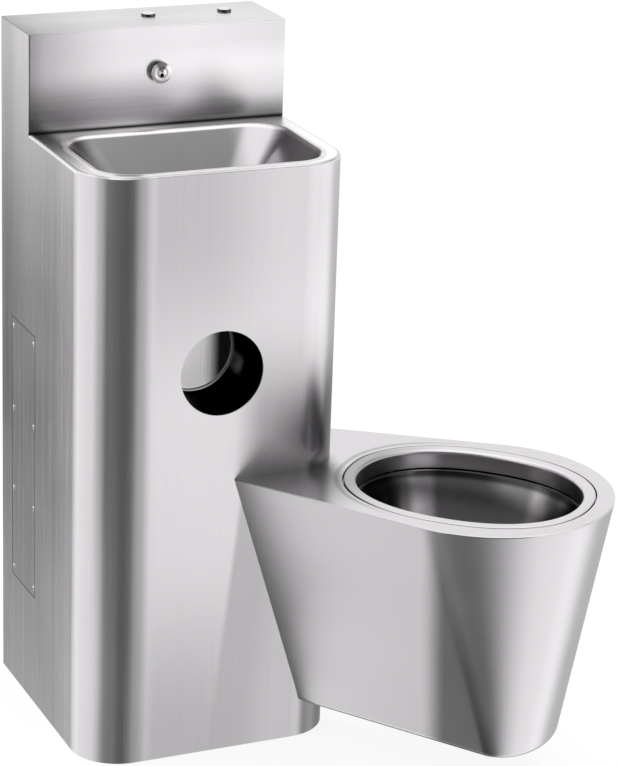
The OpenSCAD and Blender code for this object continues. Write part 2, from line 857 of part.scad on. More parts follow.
// Hollow flushing rim: top ring, inner skirt and outer wall
module pan_rim() {
    mouth_a = rim_a - rim_w;
    mouth_b = rim_b - rim_w - rim_groove;
    wall_a = rim_a + rim_lap;
    wall_b = rim_b + rim_lap;
    top_z = pan_top - pan_plate_t;
    color(bright) at_pan() difference() {
        union() {
            oval_ring(top_z, pan_plate_t, rim_a - rim_groove, rim_b - rim_groove, mouth_a, mouth_b);
            oval_ring(top_z - skirt_t, skirt_t, wall_a, wall_b, mouth_a, mouth_b);
            oval_ring(channel_floor, top_z - channel_floor, wall_a, wall_b,
                wall_a - rim_wall_t, wall_b - rim_wall_t);
            oval_ring(pan_top - rim_skirt_h, rim_skirt_h, mouth_a + skirt_t, mouth_b + skirt_t,
                mouth_a, mouth_b);
        }
        translate([rim_s - wall_a - over, 0, flush_in_z]) rotate([0, 90, 0])
            cylinder(h = rim_wall_t + 2 * over, r = flush_pipe_r + fit, $fn = round_fn);
    }
}

// Lower and upper halves of the bowl, each tapering evenly
module pan_bowl_form(grow, reach) {
    mouth_a = rim_a - rim_w + bowl_step + grow;
    mouth_b = rim_b - rim_w - rim_groove + bowl_step + grow;
    hull() {
        translate([0, 0, channel_floor - skin]) linear_extrude(skin + reach)
            polygon(oval(rim_s, mouth_a, mouth_b));
        translate([0, 0, pan_top - pan_mid_drop]) linear_extrude(skin)
            polygon(oval(pan_mid_s, pan_mid_a + grow, pan_mid_b + grow));
    }
    hull() {
        translate([0, 0, pan_top - pan_mid_drop]) linear_extrude(skin)
            polygon(oval(pan_mid_s, pan_mid_a + grow, pan_mid_b + grow));
        translate([sump_s, 0, sump_z - reach]) cylinder(h = skin + reach, r = sump_r + grow, $fn = hull_fn);
    }
}

module pan_bowl() {
    color(bright) at_pan() difference() {
        union() {
            pan_bowl_form(bowl_sheet, 0);
            translate([0, 0, channel_floor - bowl_sheet]) linear_extrude(bowl_sheet)
                polygon(oval(rim_s, rim_a + rim_lap, rim_b + rim_lap));
        }
        pan_bowl_form(0, over);
    }
}

// Two upright plates that carry the pan from the cabinet's corner
module pan_gussets() {
    low = pan_bottom + pan_plate_t;
    color(zinc) difference() {
        at_pan() for (side = [-1, 1])
            translate([0, side * (trap_pipe_r + gusset_gap + gusset_t / 2) + gusset_t / 2, 0])
                rotate([90, 0, 0]) linear_extrude(gusset_t)
                    polygon([[gusset_foot_s, low], [gusset_len, low], [0, low + gusset_h],
                        [gusset_back_s, low + gusset_h], [gusset_back_s, low + gusset_rise]]);
        cabinet_space();
    }
}

// Water-seal trap from the bowl's sump, over the weir and down towards the cabinet's middle
trap_join_s = (trap_exit_s + axis_s(outlet_x)) / 2;
trap_join_z = (trap_high_z + outlet_h) / 2;
trap_run = [[sump_s, 0, sump_z], [sump_s, 0, trap_low_z], [trap_turn_s, 0, trap_low_z],
    [trap_weir_s, 0, trap_high_z], [trap_exit_s, 0, trap_high_z], [trap_join_s, 0, trap_join_z]];

module pan_trap() {
    color(bright) at_pan() pipe(trap_run, trap_pipe_r, trap_pipe_wall);
}

// From the trap's end back to the wall
soil_run = [pan_point(trap_join_s, trap_join_z), pan_point(axis_s(outlet_x), outlet_h),
    [outlet_x, back_y - sleeve_len / 2, outlet_h]];

module pan_soil_pipe() {
    color(bright) pipe(soil_run, trap_pipe_r, trap_pipe_wall);
}

// Wider end piece that the soil connector pushes onto
module pan_outlet_sleeve() {
    color(bright) difference() {
        across_y(outlet_x, back_y - sleeve_len, outlet_h, outlet_r, sleeve_len);
        across_y(outlet_x, back_y - sleeve_len + sleeve_wall, outlet_h, outlet_r - sleeve_wall, sleeve_len);
        across_y(outlet_x, back_y - sleeve_len - over, outlet_h, trap_pipe_r + fit, sleeve_len);
    }
}

module tap_valve() {
    color(brass) push_valve(tap_x, tap_valve_r, tap_pipe_r, spout_pipe_r, spout_knee);
}

module tap_spring() {
    color(zinc) push_spring(tap_x);
}

module tap_button() {
    color(bright) push_button(tap_x);
}

module tap_supply_pipe() {
    color(bright) supply_pipe(tap_x, tap_pipe_r);
}

module tap_stop_valve() {
    color(brass) stop_valve(tap_x, tap_pipe_r);
}

module tap_stop_lever() {
    color(red) stop_lever(tap_x, tap_pipe_r);
}

module tap_inlet() {
    color(bright) straight_pipe(tap_x, valve_y + tap_pipe_r + stop_wall, inlet_h,
        tap_pipe_r, tap_end_r, inlet_end_len);
}

module flush_valve() {
    color(brass) push_valve(flush_x, flush_valve_r, flush_pipe_r, flush_pipe_r, flush_knee);
}

module flush_spring() {
    color(zinc) push_spring(flush_x);
}

module flush_button() {
    color(bright) push_button(flush_x);
}

module flush_supply_pipe() {
    color(bright) supply_pipe(flush_x, flush_pipe_r);
}

module flush_stop_valve() {
    color(brass) stop_valve(flush_x, flush_pipe_r);
}

module flush_stop_lever() {
    color(red) stop_lever(flush_x, flush_pipe_r);
}

module flush_inlet() {
    color(bright) straight_pipe(flush_x, valve_y + flush_pipe_r + stop_wall, inlet_h,
        flush_pipe_r, flush_end_r, inlet_end_len);
}

cabinet_shell();
deck_plate();
upstand_cover();
rear_frame();
base_frame();
access_frame();
access_panel();
access_screws();
roll_pocket();
basin_bowl();
basin_waste();
basin_waste_seal();
basin_waste_nut();
basin_waste_pipe();
basin_trap();
basin_outlet_pipe();
spout();
spout_seal();
spout_nut();
spout_pipe();
tap_valve();
tap_spring();
tap_button();
tap_supply_pipe();
tap_stop_valve();
tap_stop_lever();
tap_inlet();
flush_valve();
flush_spring();
flush_button();
flush_supply_pipe();
flush_stop_valve();
flush_stop_lever();
flush_inlet();
flush_pipe();
valve_studs();
valve_nuts();
pan_shell();
pan_top_plate();
pan_base_plate();
pan_rim();
pan_bowl();
pan_gussets();
pan_trap();
pan_soil_pipe();
pan_outlet_sleeve();
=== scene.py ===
"""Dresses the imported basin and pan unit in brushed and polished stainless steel, in a studio's light."""

from math import atan2, copysign, cos, pi, radians, sin, sqrt, tan

import bmesh
import bpy
from bpy.props import FloatProperty, FloatVectorProperty, PointerProperty
from bpy.types import Operator, Panel, PropertyGroup
from mathutils import Matrix, Vector


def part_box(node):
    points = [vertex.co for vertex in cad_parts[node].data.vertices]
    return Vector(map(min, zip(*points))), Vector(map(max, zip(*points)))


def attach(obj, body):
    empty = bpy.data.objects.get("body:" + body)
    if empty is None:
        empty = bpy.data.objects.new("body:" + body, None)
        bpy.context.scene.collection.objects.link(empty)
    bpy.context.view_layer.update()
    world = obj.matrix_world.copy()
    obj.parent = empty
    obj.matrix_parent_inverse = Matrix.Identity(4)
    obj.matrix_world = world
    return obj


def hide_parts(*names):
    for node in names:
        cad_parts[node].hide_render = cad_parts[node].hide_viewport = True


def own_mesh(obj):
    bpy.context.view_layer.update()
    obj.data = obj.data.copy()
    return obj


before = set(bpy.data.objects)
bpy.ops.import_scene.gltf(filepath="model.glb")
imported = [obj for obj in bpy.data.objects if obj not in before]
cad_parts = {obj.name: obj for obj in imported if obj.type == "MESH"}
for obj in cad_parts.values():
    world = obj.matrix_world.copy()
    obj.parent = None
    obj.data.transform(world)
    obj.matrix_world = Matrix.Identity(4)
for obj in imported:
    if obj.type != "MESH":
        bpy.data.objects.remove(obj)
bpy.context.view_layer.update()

bl_info = {
    "name": "Basin and Pan Unit",
    "version": (1, 0, 0),
    "blender": (4, 5, 0),
    "location": "3D View > Sidebar > Unit",
    "description": "Models a stainless-steel basin cabinet with a pan on its front corner",
    "category": "Object",
}

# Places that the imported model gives
half_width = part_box("cabinet_shell")[1].x
front_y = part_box("cabinet_shell")[0].y
back_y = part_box("cabinet_shell")[1].y
deck_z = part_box("deck_plate")[1].z
upstand_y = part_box("upstand_cover")[0].y
top_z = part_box("upstand_cover")[1].z
pan_top_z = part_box("pan_top_plate")[1].z
pan_low_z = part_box("pan_base_plate")[0].z
basin_floor_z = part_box("basin_waste")[1].z - 0.0015  # the waste's flange lies on the floor

SLACK = 0.001  # flat strip between a fold and the sheet that it joins
SUPPORT = 0.002  # from an end or a fold to the row of points that keeps its shading straight
REACH = 0.01  # how far a cutter goes past the sheet that it cuts
FULLNESS = 2.2  # of the pan's ovals, where 2 is an ellipse
OUTLET_RADIUS = 0.0029  # of the hole in the spout's face
OUTLET_DROP = 0.003  # from the spout's middle to that hole
PLAIN = 0.75  # level of the plain tint, so that paint can also lighten it


def length(name, description, default):
    """A size in metres that a user may change."""
    return FloatProperty(name=name, description=description, default=default,
                         subtype="DISTANCE", unit="LENGTH")


def angle(name, description, default):
    """An angle that a user may change."""
    return FloatProperty(name=name, description=description, default=radians(default),
                         subtype="ANGLE", unit="ROTATION")


def share(name, description, default, highest=1.0):
    """A share or level from zero."""
    return FloatProperty(name=name, description=description, default=default, min=0.0, max=highest,
                         subtype="FACTOR")


def colour(name, description, default):
    """A colour in linear light."""
    return FloatVectorProperty(name=name, description=description, default=default, size=3, min=0.0, max=1.0,
                               subtype="COLOR")


class CabinetSizes(PropertyGroup):
    corner: length("Corner radius", "Radius of the cabinet's two front corners", 0.070)
    sheet: length("Sheet", "Thickness of the steel sheet", 0.0015)
    fold: length("Fold radius", "Radius of the fold between the walls and the deck", 0.004)
    upstand_edge: length("Upstand edge", "Radius of the upstand's polished edges", 0.0020)
    joint: length("Joint", "Open joint between the deck and the upstand", 0.0005)
    panel_gap: length("Panel gap", "Gap round the access panel", 0.0009)
    trap_hole: length("Trap hole", "Radius of the hole for the pan's trap", 0.0492)
    trap_height: length("Trap height", "Height of the trap hole above the pan's underside", 0.178)
    flush_hole: length("Flush hole", "Radius of the hole for the flush pipe", 0.014)
    flush_depth: length("Flush depth", "Depth of the flush hole below the pan's top", 0.016)
    spout_hole: length("Spout hole", "Radius of the hole for the spout", 0.0088)
    button_hole: length("Button hole", "Radius of the holes for the push-buttons", 0.0104)


class BasinSizes(PropertyGroup):
    width: length("Width", "Width of the basin opening", 0.326)
    depth: length("Depth", "Depth of the basin opening", 0.206)
    corner: length("Corner radius", "Corner radius of the basin opening", 0.050)
    middle: length("Middle", "Place of the basin's middle, front to back", -0.068)
    lip: length("Lip", "Width of the rolled lip", 0.005)
    floor_width: length("Floor width", "Width of the basin's floor", 0.140)
    floor_depth: length("Floor depth", "Depth of the basin's floor", 0.080)
    floor_corner: length("Floor corner", "Corner radius of the floor", 0.028)
    floor_rise: length("Floor curve, rise", "How high up the walls the floor's curve starts", 0.030)
    floor_reach: length("Floor curve, reach", "How far in the floor's curve ends", 0.006)
    drain: length("Drain", "Radius of the drain hole", 0.0192)


class PocketSizes(PropertyGroup):
    radius: length("Radius", "Radius of the toilet-roll pocket", 0.0605)
    dish: length("Dish", "Radius of the curve at the back of the pocket", 0.005)


class PanSizes(PropertyGroup):
    turn: angle("Turn", "Angle of the pan to the cabinet's front", 45)
    flare: angle("Flare", "Angle of the pan's sides to its middle line", 10.5)
    back: length("Back", "Place of the pan's rear end along its middle line", -0.130)
    top_nose: length("Top nose", "Centre of the nose at the top", 0.207)
    top_radius: length("Top radius", "Radius of the nose at the top", 0.177)
    low_nose: length("Low nose", "Centre of the nose at the underside", 0.260)
    low_length: length("Low length", "Length of the nose at the underside", 0.064)
    low_width: length("Low width", "Half width of the nose at the underside", 0.096)
    sheet: length("Sheet", "Thickness of the pan's steel", 0.002)
    low_fold: length("Low fold", "Width of the fold round the underside", 0.009)
    top_fold: length("Top fold", "Width of the fold round the top", 0.0018)
    rim_middle: length("Rim middle", "Centre of the rim along the pan's middle line", 0.182)
    rim_length: length("Rim length", "Half length of the hole for the rim", 0.176)
    rim_width: length("Rim width", "Half width of the hole for the rim", 0.146)
    groove: length("Groove", "Width of the groove round the rim", 0.0018)
    ring: length("Ring", "Width of the rim's ring", 0.0185)
    skirt: length("Skirt", "Height of the rim's inner skirt", 0.027)
    drop: length("Drop", "Height of the channel under the rim", 0.030)
    flange: length("Flange", "Width of the rim's and the bowl's flange round the hole", 0.0018)
    waist: length("Waist", "Depth of the bowl's waist below the pan's top", 0.140)


class SteelFinish(PropertyGroup):
    satin: colour("Satin steel", "Colour of the brushed sheet", (0.70, 0.681, 0.70))
    polished: colour("Polished steel", "Colour of the polished parts", (0.72, 0.70, 0.72))
    satin_roughness: share("Satin roughness", "Roughness of the brushed sheet", 0.25)
    polished_roughness: share("Polished roughness", "Roughness of the polished parts", 0.15)


class StudioLight(PropertyGroup):
    left: share("Left light", "Level of the light wall on the left", 1.28, 4.0)
    right: share("Right light", "Level of the light wall on the right", 1.32, 4.0)
    dark: share("Dark", "Level of the dark side of the room", 0.16, 4.0)
    overhead: share("Overhead light", "Level of the light overhead", 1.35, 4.0)
    floor: colour("Floor", "Colour of the floor", (0.90, 0.90, 0.90))


# Modelling

def leave():
    """Ends edit mode and deselects everything."""
    if bpy.context.object and bpy.context.object.mode != "OBJECT":
        bpy.ops.object.mode_set(mode="OBJECT")
    bpy.ops.object.select_all(action="DESELECT")


def named(name):
    """Names the piece that a primitive has just made."""
    piece = bpy.context.object
    piece.name = piece.data.name = name
    return piece


def select_all(action="SELECT"):
    """Selects the whole of the mesh that is open for editing."""
    bpy.ops.mesh.select_all(action=action)


def choose(*pieces):
    """Selects only these pieces; the last one is active."""
    leave()
    for piece in pieces:
        piece.select_set(True)
        bpy.context.view_layer.objects.active = piece


def edit(piece):
    """Opens a piece for editing, with all of it selected."""
    choose(piece)
    bpy.ops.object.mode_set(mode="EDIT")
    select_all()


def pick(piece, kind, test):
    """Selects the vertices, edges or faces that pass a test."""
    bpy.ops.mesh.select_mode(type=kind)
    select_all("DESELECT")
    shape = bmesh.from_edit_mesh(piece.data)
    for part in {"VERT": shape.verts, "EDGE": shape.edges, "FACE": shape.faces}[kind]:
        if test(part):
            part.select_set(True)
    shape.select_flush_mode()
    bmesh.update_edit_mesh(piece.data)


def number(piece):
    """Numbers the selected vertices in the order in which their circle was made."""
    shape = bmesh.from_edit_mesh(piece.data)
    place = shape.verts.layers.int.get("place") or shape.verts.layers.int.new("place")
    for count, vert in enumerate([vert for vert in shape.verts if vert.select]):
        vert[place] = count
    bmesh.update_edit_mesh(piece.data)


def lay(piece, ring):
    """Moves the selected vertices onto the points of a ring."""
    shape = bmesh.from_edit_mesh(piece.data)
    place = shape.verts.layers.int["place"]
    for vert in shape.verts:
        if vert.select:
            vert.co = ring[vert[place]]
    bmesh.update_edit_mesh(piece.data)


def add_circle(ring):
    """Adds a circle of as many points as a ring has, at the ring's size and place."""
    middle = sum(ring, Vector()) / len(ring)
    size = max((point - middle).length for point in ring)
    bpy.ops.mesh.primitive_circle_add(vertices=len(ring), radius=size, location=middle)


def start_ring(name, ring):
    """Starts a piece with a circle of as many points as a ring has, and opens it for editing."""
    leave()
    add_circle(ring)
    bpy.ops.object.transform_apply()
    piece = named(name)
    edit(piece)
    number(piece)
    return piece


def loft(name, rings, closed=True, ends="open"):
    """Lays a circle on the first ring of points, and extrudes it to each further ring."""
    rings = [list(ring) for ring in rings]
    piece = start_ring(name, rings[0])
    if not closed:
        count = len(rings[0])
        pick(piece, "EDGE", lambda edge: {vert.index for vert in edge.verts} == {0, count - 1})
        bpy.ops.mesh.delete(type="EDGE")
        bpy.ops.mesh.select_mode(type="VERT")
        select_all()
    lay(piece, rings[0])
    for ring in rings[1:]:
        bpy.ops.mesh.extrude_region_move()
        lay(piece, ring)
    if ends == "last":
        bpy.ops.mesh.edge_face_add()
    select_all()
    if ends == "both":
        bpy.ops.mesh.fill_holes(sides=0)
    if ends == "joined":
        bpy.ops.mesh.remove_doubles(threshold=1e-6)
    select_all()
    bpy.ops.mesh.normals_make_consistent(inside=False)
    leave()
    return piece


def measure(piece, outline):
    """Writes on each vertex how far along the outline its place lies."""
    lengths = [0.0]
    for point, following in zip(outline, outline[1:]):
        lengths.append(lengths[-1] + (following - point).length)
    places = piece.data.attributes["place"].data
    run = piece.data.attributes.new("run", "FLOAT", "POINT").data
    for place, value in zip(places, run):
        value.value = lengths[place.value]


def plate(name, loops):
    """Fills the flat space between an outer loop of points and the loops inside it."""
    piece = start_ring(name, loops[0])
    lay(piece, loops[0])
    for loop in loops[1:]:
        select_all("DESELECT")
        add_circle(loop)
        number(piece)
        lay(piece, loop)
    select_all()
    bpy.ops.mesh.fill(use_beauty=True)
    select_all()
    face_up(piece)
    leave()
    return piece


def face_up(piece):
    """Turns the selected faces of a flat plate upwards."""
    shape = bmesh.from_edit_mesh(piece.data)
    if sum(face.normal.z for face in shape.faces) < 0:
        bpy.ops.mesh.flip_normals()


def join(name, *pieces):
    """Joins pieces into one and merges the points that they share."""
    choose(*pieces)
    bpy.ops.object.join()
    piece = named(name)
    edit(piece)
    bpy.ops.mesh.remove_doubles(threshold=2e-6)
    leave()
    return piece


def apply(piece, kind, **settings):
    """Adds a modifier to a piece and applies it."""
    choose(piece)
    modifier = piece.modifiers.new(kind.title(), kind)
    for name, value in settings.items():
        setattr(modifier, name, value)
    bpy.ops.object.modifier_apply(modifier=modifier.name)


def thicken(piece, thickness, inwards=True):
    """Gives a sheet its thickness, behind its seen face."""
    apply(piece, "SOLIDIFY", thickness=thickness, offset=-1.0 if inwards else 1.0, use_even_offset=True)


def cut(piece, *cutters):
    """Cuts pieces out of another."""
    for cutter in cutters:
        apply(piece, "BOOLEAN", object=cutter, operation="DIFFERENCE", solver="EXACT")
        bpy.data.objects.remove(cutter)


def ease(piece, width, segments=2, limit=50):
    """Rounds the sharp edges of a piece."""
    apply(piece, "BEVEL", width=width, segments=segments, limit_method="ANGLE", angle_limit=radians(limit),
          use_clamp_overlap=True)


def rod(name, radius, start, end, sides=96):
    """A plain rod from start to end, to cut with."""
    leave()
    axis = end - start
    turn = axis.to_track_quat("Z", "Y").to_euler()
    bpy.ops.mesh.primitive_cylinder_add(vertices=sides, radius=radius, depth=axis.length,
                                        location=(start + end) / 2, rotation=turn)
    bpy.ops.object.transform_apply()
    return named(name)


def drill(radius, place, reach, sides=96):
    """A rod to cut a hole with, through a place and as far to both sides as the reach."""
    return rod("drill", radius, place - reach, place + reach, sides)


def block(name, low, high):
    """A plain block between two corners, to cut with or to shape."""
    leave()
    bpy.ops.mesh.primitive_cube_add(size=1, location=(low + high) / 2)
    bpy.ops.transform.resize(value=high - low)
    bpy.ops.object.transform_apply()
    return named(name)


def dress(piece, name):
    """Gives a piece the material of that name, and no other."""
    piece.data.materials.clear()
    piece.data.materials.append(material(name))


def finish(piece, look, nodes, body="unit", flats=False, limit=35):
    """Smooths a piece, gives it its material and sets it on its body in place of its CAD nodes."""
    choose(piece)
    if "place" in piece.data.attributes:
        piece.data.attributes.remove(piece.data.attributes["place"])
    bpy.ops.object.shade_smooth_by_angle(angle=radians(limit))
    if flats:
        apply(piece, "WEIGHTED_NORMAL", mode="FACE_AREA", weight=100, keep_sharp=True)
    dress(piece, look)
    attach(piece, body)
    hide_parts(*nodes)


# Outlines

def arc(start, end, steps):
    """Evenly spaced angles in degrees, as radians."""
    return [radians(start + (end - start) * step / steps) for step in range(steps + 1)]


def fold(start, corner, end, steps):
    """Points of a round fold between two straight lines that would meet in a corner."""
    turn = (corner - start).normalized().dot((end - corner).normalized())
    weight = sqrt((1 + turn) / 2)
    points = []
    for step in range(steps + 1):
        t = step / steps
        a, b, c = (1 - t) ** 2, 2 * weight * t * (1 - t), t * t
        points.append((start * a + corner * b + end * c) / (a + b + c))
    return points


def between(first, last, shares):
    """Points on the straight line from one point to another."""
    return [first.lerp(last, part) for part in shares]


def middle_of(node):
    """Middle of a CAD node's box."""
    low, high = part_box(node)
    return (low + high) / 2


def circle(middle, radius, axis, sides):
    """Ring of points round an axis, X, Y or Z."""
    ring = []
    for step in range(sides):
        a, b = radius * cos(2 * pi * step / sides), radius * sin(2 * pi * step / sides)
        ring.append(middle + {"X": Vector((0, a, b)), "Y": Vector((b, 0, a)), "Z": Vector((a, b, 0))}[axis])
    return ring


def turned(name, base, axis, profile, sides=72):
    """A turned part: radii and distances along an axis from its base."""
    step = {"X": Vector((1, 0, 0)), "Y": Vector((0, 1, 0)), "Z": Vector((0, 0, 1))}[axis]
    rings = [circle(base + step * distance, radius, axis, sides) for radius, distance in profile]
    return loft(name, rings, ends="both")


def cabinet_plan(z, inset, rear_ys, steps=24, support=0.0015):
    """Cabinet's outline from left rear, round the front, to right rear, with a point beside each corner."""
    sizes = bpy.context.scene.cabinet_sizes
    half = half_width - inset
    radius = sizes.corner - inset
    middle = front_y + sizes.corner
    left = [Vector((-half, y, z)) for y in rear_ys]
    left.append(Vector((-half, middle + support, z)))
    left += [Vector((radius - half - radius * cos(a), middle - radius * sin(a), z))
             for a in arc(0, 90, steps)]
    left.append(Vector((radius - half + support, middle - radius, z)))
    return left + [Vector((-point.x, point.y, z)) for point in reversed(left)]


def rounded_plan(width, depth, corner, z, grow=0.0, steps=14, shares=(0.02, 0.5, 0.98)):
    """Rectangle with round corners, round the basin's middle, grown on every side."""
    middle = bpy.context.scene.basin_sizes.middle
    width, depth, radius = width + 2 * grow, depth + 2 * grow, corner + grow
    corners = []
    for turn, (x, y) in enumerate(((1, -1), (1, 1), (-1, 1), (-1, -1))):
        centre = Vector((x * (width / 2 - radius), middle + y * (depth / 2 - radius), z))
        corners.append([centre + radius * Vector((cos(a), sin(a), 0))
                        for a in arc(turn * 90 - 90, turn * 90, steps)])
    points = []
    for corner, following in zip(corners, corners[1:] + corners[:1]):
        points += corner + between(corner[-1], following[0], shares)
    return points


def on_pan(s, t, z):
    """Point at s along the pan's middle line from the cabinet's corner, and t across it."""
    turn = bpy.context.scene.pan_sizes.turn
    return Vector((half_width + s * cos(turn) + t * sin(turn), front_y - s * sin(turn) + t * cos(turn), z))


def pan_plan(z, inset=0.0, steps=72, shares=(0.02, 0.3, 0.6, 0.98)):
    """Pan's outline at a height: flared sides that run into a rounded nose."""
    sizes = bpy.context.scene.pan_sizes
    rise = (z - pan_low_z) / (pan_top_z - pan_low_z)
    nose = sizes.low_nose + (sizes.top_nose - sizes.low_nose) * rise
    nose_length = sizes.low_length + (sizes.top_radius - sizes.low_length) * rise - inset
    nose_width = sizes.low_width + (sizes.top_radius - sizes.low_width) * rise - inset
    slope = tan(sizes.flare)
    half = sqrt((nose_length * slope) ** 2 + nose_width ** 2) + slope * (sizes.back - nose)
    points = []
    for facing in arc(-90, 90, steps):
        facing *= 1 + sizes.flare / (pi / 2)
        turn = atan2(nose_width * sin(facing), nose_length * cos(facing))
        points.append(on_pan(nose + nose_length * cos(turn), nose_width * sin(turn), z))
    start, end = on_pan(sizes.back, -half, z), on_pan(sizes.back, half, z)
    return [start, *between(start, points[0], shares), *points, *between(points[-1], end, shares), end]


def oval(middle, along_pan, across_pan, z, power=FULLNESS, steps=120):
    """Ring of points on an oval a little fuller than an ellipse, with its two half widths."""
    points = []
    for step in range(steps):
        x, y = cos(2 * pi * step / steps), sin(2 * pi * step / steps)
        points.append(on_pan(middle + along_pan * copysign(abs(x) ** (2 / power), x),
                             across_pan * copysign(abs(y) ** (2 / power), y), z))
    return points


def rim_oval(inset, z):
    """Oval that lies inset from the hole for the rim."""
    sizes = bpy.context.scene.pan_sizes
    squeeze = sizes.ring / (sizes.ring - sizes.groove)
    across = sizes.groove + (inset - sizes.groove) * squeeze
    return oval(sizes.rim_middle, sizes.rim_length - inset, sizes.rim_width - across, z)


# Materials

class Wire:
    """A node's output that Python's arithmetic joins up with Math nodes."""

    def __init__(self, graph, socket):
        self.graph = graph
        self.socket = socket

    def __add__(self, other):
        return self.graph.math("ADD", self, other)

    def __radd__(self, other):
        return self.graph.math("ADD", other, self)

    def __sub__(self, other):
        return self.graph.math("SUBTRACT", self, other)

    def __rsub__(self, other):
        return self.graph.math("SUBTRACT", other, self)

    def __mul__(self, other):
        return self.graph.math("MULTIPLY", self, other)

    def __rmul__(self, other):
        return self.graph.math("MULTIPLY", other, self)

    def __truediv__(self, other):
        return self.graph.math("DIVIDE", self, other)

    def __neg__(self):
        return self.graph.math("MULTIPLY", self, -1.0)

    def __pow__(self, other):
        return self.graph.math("POWER", self, other)

    def __abs__(self):
        return self.graph.math("ABSOLUTE", self)


class Graph:
    """The node tree of a material or world."""

    def __init__(self, owner):
        owner.use_nodes = True
        self.tree = owner.node_tree
        self.tree.nodes.clear()

    def node(self, kind, inputs=None, output=0, **settings):
        """Adds a node, sets it up, feeds its inputs, and gives back one output, or all for None."""
        made = self.tree.nodes.new(kind)
        for name, value in settings.items():
            setattr(made, name, value)
        for name, value in (inputs or {}).items():
            if isinstance(value, Wire):
                self.tree.links.new(value.socket, made.inputs[name])
            else:
                made.inputs[name].default_value = value
        if output is None:
            return [Wire(self, socket) for socket in made.outputs]
        return Wire(self, made.outputs[output])

    def math(self, operation, *values):
        return self.node("ShaderNodeMath", dict(enumerate(values)), operation=operation)

    def smooth(self, value, low, high):
        """Rises from 0 at low to 1 at high."""
        return self.node("ShaderNodeMapRange", {0: value, 1: low, 2: high}, interpolation_type="SMOOTHSTEP")

    def fall(self, value, low, high):
        """Falls from 1 at low to 0 at high."""
        return 1 - self.smooth(value, low, high)

    def band(self, value, low, rise, fall, high):
        """Rises from low to rise, and falls from fall to high."""
        return self.smooth(value, low, rise) * self.fall(value, fall, high)

    def around(self, value, middle, width):
        """One at the middle, and zero further from it than the width."""
        flat = width * 0.3
        return self.band(value, middle - width, middle - flat, middle + flat, middle + width)

    def mix(self, factor, first, second):
        """Mixes two colours."""
        return self.node("ShaderNodeMix", {0: factor, 6: (*first, 1), 7: (*second, 1)}, output=2,
                         data_type="RGBA")

    def axes(self, source="Object"):
        """X, Y and Z on the piece, in metres, or of the direction in which the world is seen."""
        spot = self.node("ShaderNodeTexCoord", output=source)
        return self.node("ShaderNodeSeparateXYZ", {0: spot}, output=None)

    def noise(self, scales, detail=3.0, run=False):
        """Noise with one scale, or one for each axis; run puts the way along the outline in place of X, Y."""
        if run:
            length_along = self.node("ShaderNodeAttribute", output="Fac", attribute_name="run")
            place = self.node("ShaderNodeCombineXYZ", {0: length_along, 2: self.axes()[2]})
        else:
            place = self.node("ShaderNodeTexCoord", output="Object")
        if not isinstance(scales, list):
            scales = [scales] * 3
        place = self.node("ShaderNodeVectorMath", {0: place, 1: scales}, operation="MULTIPLY")
        return self.node("ShaderNodeTexNoise", {"Vector": place, "Scale": 1.0, "Detail": detail})

    def bump(self, strength, distance, height):
        """Bends the normal over fine heights."""
        return self.node("ShaderNodeBump", {"Strength": strength, "Distance": distance, "Height": height})

    def painted(self, streaks, tint, paint):
        """The tint, at the level of painted light and shade that the paint gives each place, with streaks in
        it.
        """
        level = paint(self, *self.axes()) if paint else PLAIN
        return self.mix(streaks + level, (0, 0, 0), shaded(tint, 1 / PLAIN))

    def surface(self, **inputs):
        """Adds the surface shader and the output; an input's name has _ for its spaces."""
        shader = self.node("ShaderNodeBsdfPrincipled",
                           {name.replace("_", " "): value for name, value in inputs.items()})
        self.node("ShaderNodeOutputMaterial", {"Surface": shader}, output=None)


def shaded(tint, level):
    """A colour made lighter or darker."""
    return tuple(min(1.0, part * level) for part in tint)


def brushed_steel(graph, tint, roughness, grain, paint=None, run=False):
    """Steel sheet with fine brush lines along one axis, which spread reflections across the lines."""
    lines = [1.0 if axis == grain else 90.0 for axis in "XYZ"]
    fine = graph.noise([8 * part for part in lines], run=run)
    broad = graph.noise([1.6 * part for part in lines], run=run)
    cloud = graph.noise(6)
    streaks = (fine - 0.5) * 0.065 + (broad - 0.5) * 0.08 + (cloud - 0.5) * 0.08
    graph.surface(
        Base_Color=graph.painted(streaks, tint, paint),
        Metallic=1.0,
        Anisotropic=0.6,
        Anisotropic_Rotation=0.0 if grain == "Z" else 0.25,
        Roughness=roughness + (fine - 0.5) * 0.09 + (broad - 0.5) * 0.06 + (cloud - 0.5) * 0.05,
        Normal=graph.bump(0.5, 0.000012, fine))


def polished_steel(graph, tint, roughness, paint=None):
    """Polished steel with faint swirls left by the mop."""
    swirl = graph.noise(260, 4)
    cloud = graph.noise(14)
    graph.surface(
        Base_Color=graph.painted((cloud - 0.5) * 0.08, tint, paint),
        Metallic=1.0,
        Roughness=roughness + (swirl - 0.5) * 0.06 + (cloud - 0.5) * 0.05,
        Normal=graph.bump(0.25, 0.00002, swirl))
